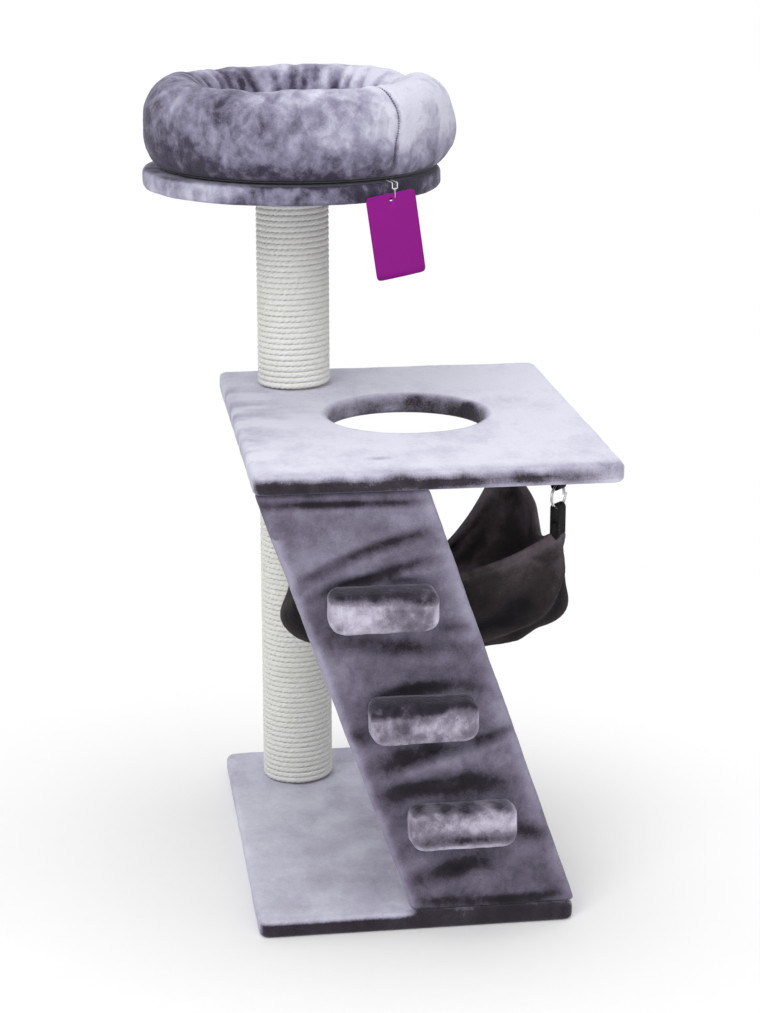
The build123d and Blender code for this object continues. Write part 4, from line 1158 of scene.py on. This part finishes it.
def hammock_sheet():
    """The cloth, begun in its hung shape, let settle from its corners, folded, thickened and hemmed."""
    places = {name: span("strap_" + name) for name in CORNERS}
    strap_end = places["front_left"][0][2]
    middle = (places["front_left"][2] + places["rear_right"][2]) / 2
    half = places["rear_right"][2] - middle
    columns, rows = 105, 105
    grid, number = unit_grid(columns, rows)
    u, v = grid.T
    hung = hammock_shape(u, v, middle, half, strap_end - 0.003)
    hung = eased_grid(hung, rows, columns, 12)
    faces = grid_faces(number)
    sheet = make_piece("hung_cloth", hung, faces, "hammock")
    pins = np.flatnonzero((np.abs(u) > 0.96) & (np.abs(v) > 0.96))
    slack = middle + (hung - middle) * 1.03
    settle(sheet, 24, 0.0, 1.0, 0.009, pins, 40.0, 3.0, slack)
    move_points(sheet, eased_grid(points_of(sheet), rows, columns, 3))
    rise, dark = folds_on(grid, CLOTH_FOLDS, 0.010)
    normals = normals_of(sheet)
    points = points_of(sheet) - normals * rise[:, None]
    edge = (1 - np.maximum(np.abs(u), np.abs(v))) * 0.2
    from_corner = np.hypot(1 - np.abs(u), 1 - np.abs(v)) * 0.2
    thick = 0.0046 + 0.0022 * grade(edge, 0.012, -0.004) - 0.0016 * bump(edge, 0.0125, 0.003)
    thick += 0.0050 * bump(from_corner, 0, 0.011)
    # Painted shade in the folds and at the left next to the ramp; a painted highlight along the rim; painted
    # light towards the rear and higher up
    nap = 0.40 + 0.16 * lumps(points, 0.06, 61) - dark + 0.18 * grade(edge, 0.009, -0.005)
    nap += 0.20 * grade(v, 0, 0.6) - 0.08 * grade(points[:, 0], 0.075, -0.04)
    nap += 0.16 * grade(points[:, 2], 0.36, 0.07)
    bpy.data.objects.remove(sheet)
    points, faces, owner = thickened(points, normals, number, faces, thick)
    nap = nap[owner]
    # The low part of the first face is painted lighter, painted light where the pouch's real shade is deep
    nap[: len(u)] += 0.20 * grade(points[: len(u), 2], 0.34, -0.04)
    # The corner lugs are painted dark, painted shade between the strap's legs
    for place in places.values():
        lug, lug_faces = corner_lug(place[2], strap_end)
        faces = np.concatenate([faces, lug_faces + len(points)])
        points = np.concatenate([points, lug])
        nap = np.concatenate([nap, np.full(len(lug), 0.12)])
    return make_piece("hammock_sheet", points, faces, "hammock", {"nap": nap})


def thickened(points, normals, number, faces, thick):
    """Both faces of a cloth and a round rim between them, with the grid point that each point comes from."""
    half = thick[:, None] / 2
    rim = grid_rim(number)
    along = np.roll(points[rim], -1, 0) - np.roll(points[rim], 1, 0)
    out = np.cross(along, normals[rim])
    out /= np.linalg.norm(out, axis=1)[:, None]
    count = len(points)
    edge = 2 * count + np.arange(len(rim))
    both = np.concatenate([points + normals * half, points - normals * half, points[rim] + out * half[rim]])
    sides = np.concatenate([ring_faces(rim, edge), ring_faces(edge, rim + count)])
    owner = np.concatenate([np.arange(count), np.arange(count), rim])
    return both, np.concatenate([faces, faces[:, ::-1] + count, sides]), owner


# Level directions along the webbing's width and across its loops
ALONG = np.array([math.sqrt(0.5), math.sqrt(0.5), 0])
ACROSS = np.array([math.sqrt(0.5), -math.sqrt(0.5), 0])
UP = np.array([0, 0, 1])


def corner_lug(corner, strap_end):
    """Gathered corner of the cloth, sewn between the legs of its strap."""
    half = (0.0072, LOOP_RADIUS - 0.0001)
    profile = [(0.0015, 0.012), (0.0004, 0.011), (0.0, 0.008)]
    profile += [(0.0, 0.001), (0.0006, -0.004), (0.0015, -0.006)]
    points, faces, _ = panel_skin(half, 0.002, (14, 8), profile)
    points[:, :2] += 0.00025 * np.column_stack([lumps(points, 0.004, 63), lumps(points, 0.004, 64)])
    placed = points[:, :1] * ALONG + points[:, 1:2] * ACROSS + points[:, 2:] * UP
    return placed + (corner[0], corner[1], strap_end), faces


def webbing_band(name, corner, path):
    """A flat woven band along a path of (across, height) points."""
    path = np.array(path)
    side = run_and_side(path)[1]
    length = np.concatenate([[0], np.cumsum(np.linalg.norm(np.diff(path, axis=0), axis=1))])
    half, thick, ease = WEBBING_WIDTH / 2, WEBBING_THICKNESS / 2, 0.0004
    face = [(width, thick) for width in (ease - half, -half / 2, 0, half / 2, half - ease)] + [(half, 0)]
    ring = np.array(face + [(-width, -lift) for width, lift in face])
    flat = path[:, None] + side[:, None] * ring[:, 1:]
    points = flat[:, :, :1] * ACROSS + ring[:, :1] * ALONG + flat[:, :, 1:] * UP
    points += (corner[0], corner[1], 0)
    count, sides = points.shape[:2]
    faces, caps = tube_faces(count, sides)
    painted = {"along": np.repeat(length, sides), "across": np.tile(ring[:, 0], count)}
    return make_piece(name, points.reshape(-1, 3), [*faces, *caps], "webbing", painted)


def hanger_tab_bands():
    """Bands screwed flat under the platform, each with a loop that hangs from it for a ring."""
    radius = LOOP_RADIUS + WEBBING_THICKNESS / 2
    top = span("hanger_tabs")[1][2]
    level, pivot = top - WEBBING_THICKNESS / 2, top - TAB_DROP
    side = [(radius + TAB_FLANGE - 0.0002, level), (radius + TAB_FLANGE / 2, level)]
    side += bend((radius + TAB_BEND, level - TAB_BEND), (TAB_BEND, TAB_BEND), 90, 180, 5)
    side += [(radius, (pivot + level) / 2)]
    loop = bend((0, pivot), (radius, radius), 180, 360, 17)
    path = [(-x, z) for x, z in side] + loop + side[::-1]
    return [webbing_band("hanger_tab_" + name, span("strap_" + name)[2], path) for name in CORNERS]


def strap_band(name):
    """A strap's loop of webbing, and the stitches in a box with a diagonal on both its legs."""
    low, high, corner = span("strap_" + name)
    radius = LOOP_RADIUS + WEBBING_THICKNESS / 2
    pivot = high[2] - LOOP_RADIUS - WEBBING_THICKNESS
    end = low[2]
    leg = [(radius, end + (pivot - end) * share) for share in np.linspace(0, 0.9, 8)]
    path = leg + bend((0, pivot), (radius, radius), 0, 180, 17) + [(-x, z) for x, z in leg[::-1]]
    pieces = [webbing_band("hammock_strap_" + name, corner, path)]
    below, above = end + 0.002, end + 0.012
    box = [(-BOX_HALF, below), (BOX_HALF, below), (BOX_HALF, above), (-BOX_HALF, above)]
    box += [box[0], box[2]]
    along = Vector(ALONG)
    for label, sign in (("near", 1), ("far", -1)):
        lift = Vector(ACROSS) * sign
        face = Vector((corner[0], corner[1], 0)) + lift * (radius + WEBBING_THICKNESS / 2)
        line = []
        for (w0, z0), (w1, z1) in zip(box, box[1:]):
            steps = max(2, 2 * round(math.hypot(w1 - w0, z1 - z0) / STITCH_PITCH))
            for share in np.arange(steps) / steps:
                spot = face + along * (w0 + (w1 - w0) * share) + Vector((0, 0, z0 + (z1 - z0) * share))
                line.append((spot, lift))
        pieces.append(stitch_row(f"strap_stitches_{name}_{label}", line, 0.0003, "stitch"))
    return pieces


# Small flat pieces
def bed_underside():
    """Thin round cloth under the bolster."""
    low, high, middle = span("bed_bottom_cloth")
    half = (high - low)[:2] / 2
    thick = high[2] - low[2]
    profile = [(0.0012, thick), (0.0003, thick * 0.8), (0.0003, thick * 0.2), (0.0012, 0)]
    points, faces, _ = panel_skin(half, half[0], (48, 48), profile)
    points += (middle[0], middle[1], low[2])
    return make_piece("bed_underside", points, faces, "backing")


def base_liner_cloth():
    """Thin cloth under the base inside the hem, with a hole for the post's bolt and a few dents."""
    low, high, middle = span("base_liner")
    half = (high - low)[:2] / 2
    hole = span("lower_post_tube")[2][:2]
    towards = circle(200)
    edge = np.where(towards > 0, middle[:2] + half, middle[:2] - half)
    reach = np.min(np.abs(edge - hole) / np.maximum(np.abs(towards), 1e-9), axis=1)
    outline = hole + towards * reach[:, None]
    inner = hole + towards * (RECESS_RADIUS + 0.0002)
    out, back = np.linspace(0, 1, 14), np.linspace(1, 0, 14)
    rows = [at_height(flat, low[2] + 0.0002) for flat in between(inner, outline, out)]
    rows += [at_height(flat, high[2]) for flat in between(inner, outline, back)]
    points, faces = ring_skin(rows)
    dent = np.clip(0.0004 * lumps(points, 0.03, 71), 0, 0.0004) * (points[:, 2] < middle[2])
    points[:, 2] += dent
    return make_piece("base_liner_cloth", points, faces[:, ::-1], "backing")


def grip_patches(name, node, seed):
    """Four small patches of hook or loop pile."""
    low, high, _ = span(node)
    thick = high[2] - low[2]
    bed = span("bed_pad")[2]
    profile = [(0.003, thick), (0.0006, thick * 0.9), (0.0, thick * 0.5), (0.0006, 0.0001), (0.003, 0.0)]
    all_points, all_faces = [], []
    for quarter in range(4):
        angle = math.radians(90 * quarter + 45)
        points, faces, steps = panel_skin(GRIP_HALF, 0.003, (20, 40), profile)
        rough = 0.00012 * lumps(points, 0.0016, seed + quarter) * (steps == 0)
        points[:, 2] += np.minimum(rough, 0)
        out = points[:, 0] + GRIP_REACH
        x = bed[0] + out * math.cos(angle) - points[:, 1] * math.sin(angle)
        y = bed[1] + out * math.sin(angle) + points[:, 1] * math.cos(angle)
        all_faces.append(faces + quarter * len(points))
        all_points.append(np.column_stack([x, y, points[:, 2] + low[2]]))
    return make_piece(name, np.concatenate(all_points), np.concatenate(all_faces), "grip")


# Tag: half sizes of its card, how far its hole is above its middle, and its turn and leans in degrees
CARD_HALF = np.array([0.030, 0.0485])
CARD_CORNER = 0.005
CARD_HOLE_UP = 0.0415
CARD_TURN = math.radians(12)
CARD_LEAN = math.radians(8.5)
PART_CARD_LEAN = math.radians(6.5)


def swing_card():
    """The tag's card, hung askew from its hole and a little bowed."""
    facing = np.array([math.sin(CARD_TURN), -math.cos(CARD_TURN), 0])
    level = np.array([math.cos(CARD_TURN), math.sin(CARD_TURN), 0])
    wide = level * math.cos(CARD_LEAN) + UP * math.sin(CARD_LEAN)
    tall = UP * math.cos(CARD_LEAN) - level * math.sin(CARD_LEAN)
    part_tall = UP * math.cos(PART_CARD_LEAN) - level * math.sin(PART_CARD_LEAN)
    hole = span("tag_card")[2] + CARD_HOLE_UP * part_tall
    grid, number = unit_grid(21, 33)
    rim_grid = grid[grid_rim(number)]
    thin, ease = 0.0004, 0.0002
    layers = [(thin, ease, np.linspace(0, 1, 12)), (0, 0, (1,)), (-thin, ease, np.linspace(1, 0, 12))]
    rows = []
    for lift, inset, shares in layers:
        outline = outline_points(rim_grid, CARD_HALF - inset, CARD_CORNER - inset) - (0, CARD_HOLE_UP)
        rim = outline / np.linalg.norm(outline, axis=1)[:, None] * 0.002
        for flat in between(rim, outline, shares):
            bow = 0.0016 * (1 - (flat[:, 0] / CARD_HALF[0]) ** 2) * grade(flat[:, 1], 0, -0.09)
            rows.append(hole + flat[:, :1] * wide + flat[:, 1:] * tall + (lift + bow)[:, None] * facing)
    points, faces = ring_skin(rows)
    return make_piece("swing_card", points, faces, "card")


def stand_for(piece, body, slot, *nodes):
    """Put a piece on its body and hide the nodes whose place it takes. The slot is not used."""
    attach(piece, body)
    if nodes:
        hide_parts(*nodes)
    return piece


# Pieces that carry over from the part keep their shape and get a finish
KEPT = {
    "board": ("base_board", "platform_board", "disc_board", "ramp_board"),
    "wood": ("step_block_upper", "step_block_middle", "step_block_lower", "lower_post_foot_plug",
             "lower_post_head_plug", "upper_post_foot_plug", "upper_post_head_plug"),
    "tube": ("lower_post_tube", "upper_post_tube"),
    "zinc": ("threaded_inserts", "post_bolts", "post_washers", "platform_stud", "step_screws",
             "bracket_screws", "bracket_bolts", "bracket_nuts", "bracket_top_left", "bracket_top_right",
             "bracket_bottom_left", "bracket_bottom_right", "hanger_screws"),
    "ring": ("ring_front_left", "ring_front_right", "ring_rear_left", "ring_rear_right"),
    "clear": ("tag_loop",),
    "thread": ("tag_thread",),
}
for finish, names in KEPT.items():
    for name in names:
        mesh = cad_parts[name].data
        mesh.materials.clear()
        mesh.materials.append(finishes[finish])

base = stand_for(base_plush(), "frame", "plush", "base_cover")
liner = stand_for(base_liner_cloth(), "frame", "backing_cloth", "base_liner")
platform = stand_for(platform_plush(), "frame", "plush", "platform_cover")
disc = stand_for(disc_plush(), "frame", "plush", "disc_cover")
ramp = stand_for(ramp_plush(), "frame", "plush", "ramp_cover")
for order, name in enumerate(STEPS):
    step = stand_for(step_plush(name, 80 + 3 * order), "frame", "plush", "step_cover_" + name)
for post in ("lower_post", "upper_post"):
    stand_for(rope_on(post), "frame", "sisal", post + "_rope", post + "_rope_sleeve")

bolster = stand_for(bed_bolster(), "bed", "plush", "bolster_cover", "bolster_filling")
stand_for(bolster_seam(bolster), "bed", "thread")
cushion = stand_for(bed_cushion(), "bed", "plush", "bed_pad")
under_bed = stand_for(bed_underside(), "bed", "backing_cloth", "bed_bottom_cloth")
stand_for(grip_patches("hook_pile", "hook_patches", 90), "frame", "hook_loop", "hook_patches")
stand_for(grip_patches("loop_pile", "loop_patches", 95), "bed", "hook_loop", "loop_patches")

stand_for(swing_card(), "tag", "card", "tag_card")
for tab in hanger_tab_bands():
    stand_for(tab, "frame", "webbing", "hanger_tabs")
for name in CORNERS:
    band, *stitches = strap_band(name)
    stand_for(band, "hammock", "webbing", "strap_" + name)
    for row in stitches:
        stand_for(row, "hammock", "thread")
sheet = stand_for(hammock_sheet(), "hammock", "hammock_plush", "hammock_cloth")


# Studio
def seen_rays(finish):
    """1 for a ray from the camera or one that a gloss or a clear piece sends on, 0 for the light itself."""
    kinds = ("Camera", "Glossy", "Transmission")
    camera_ray, glossy_ray, clear_ray = (finish.node("LightPath", output=f"Is {kind} Ray") for kind in kinds)
    return finish.calc("MINIMUM", camera_ray + glossy_ray + clear_ray, 1.0)


def studio():
    """Pale floor, even light from all round and soft lamps above and in front."""
    white = (1, 1, 1, 1)
    bpy.ops.mesh.primitive_circle_add(vertices=96, radius=30, fill_type="NGON", location=(0, 0, 0))
    floor = bpy.context.object
    floor.name = "floor"
    ground = new_finish("pale_floor")
    shadow = ground.node("VectorMath", {"operation": "ADD"}, {0: ground.place(), 1: (0.12, 0.16, 0)})
    away = ground.node("VectorMath", {"operation": "LENGTH"}, {0: shadow}, "Value")
    far = ground.eased(away, 0.22, 0.75) * seen_rays(ground)
    tooth = ground.spots(ground.place(), 0.02, 2.0)
    pale = ground.blend(tooth, full((0.93, 0.93, 0.93)), full((0.95, 0.95, 0.95)))
    matt = ground.node("BsdfDiffuse", {}, {"Color": pale})
    bright = ground.node("Emission", {}, {"Color": white, "Strength": 1.0})
    both = ground.node("MixShader", {}, {0: far, 1: matt, 2: bright})
    ground.node("OutputMaterial", {}, {"Surface": both})
    floor.data.materials.append(ground.owner)
    world = bpy.data.worlds.new("studio")
    scene.world = world
    sky = Finish(world)
    seen = seen_rays(sky)
    even = sky.node("Background", {}, {"Color": white, "Strength": 0.62})
    backdrop = sky.node("Background", {}, {"Color": white, "Strength": 1.0})
    sky.node("OutputWorld", {}, {"Surface": sky.node("MixShader", {}, {0: seen, 1: even, 2: backdrop})})
    lamp("key_lamp", (-1.3, -1.7, 2.6), 1.5, 34)
    lamp("front_lamp", (0.9, -2.6, 1.4), 1.6, 16)
    lamp("top_lamp", (0.1, 0.3, 2.8), 1.6, 16)


def lamp(name, place, size, power):
    light = bpy.data.lights.new(name, "AREA")
    light.energy = power
    light.size = size
    holder = bpy.data.objects.new(name, light)
    holder.location = place
    aim = Vector((0, 0, 0.45)) - Vector(place)
    holder.rotation_euler = aim.to_track_quat("-Z", "Y").to_euler()
    scene.collection.objects.link(holder)


def camera():
    """The photograph's own view."""
    lens = bpy.data.cameras.new("camera")
    lens.sensor_width = 36
    lens.lens = 83.08
    lens.dof.use_dof = False
    holder = bpy.data.objects.new("camera", lens)
    holder.location = (-0.36640, -2.59643, 1.18430)
    holder.rotation_euler = (math.radians(90 - 16.2462), 0, math.radians(-7.8419))
    scene.collection.objects.link(holder)
    scene.camera = holder


studio()
camera()
scene.view_settings.view_transform = "Standard"
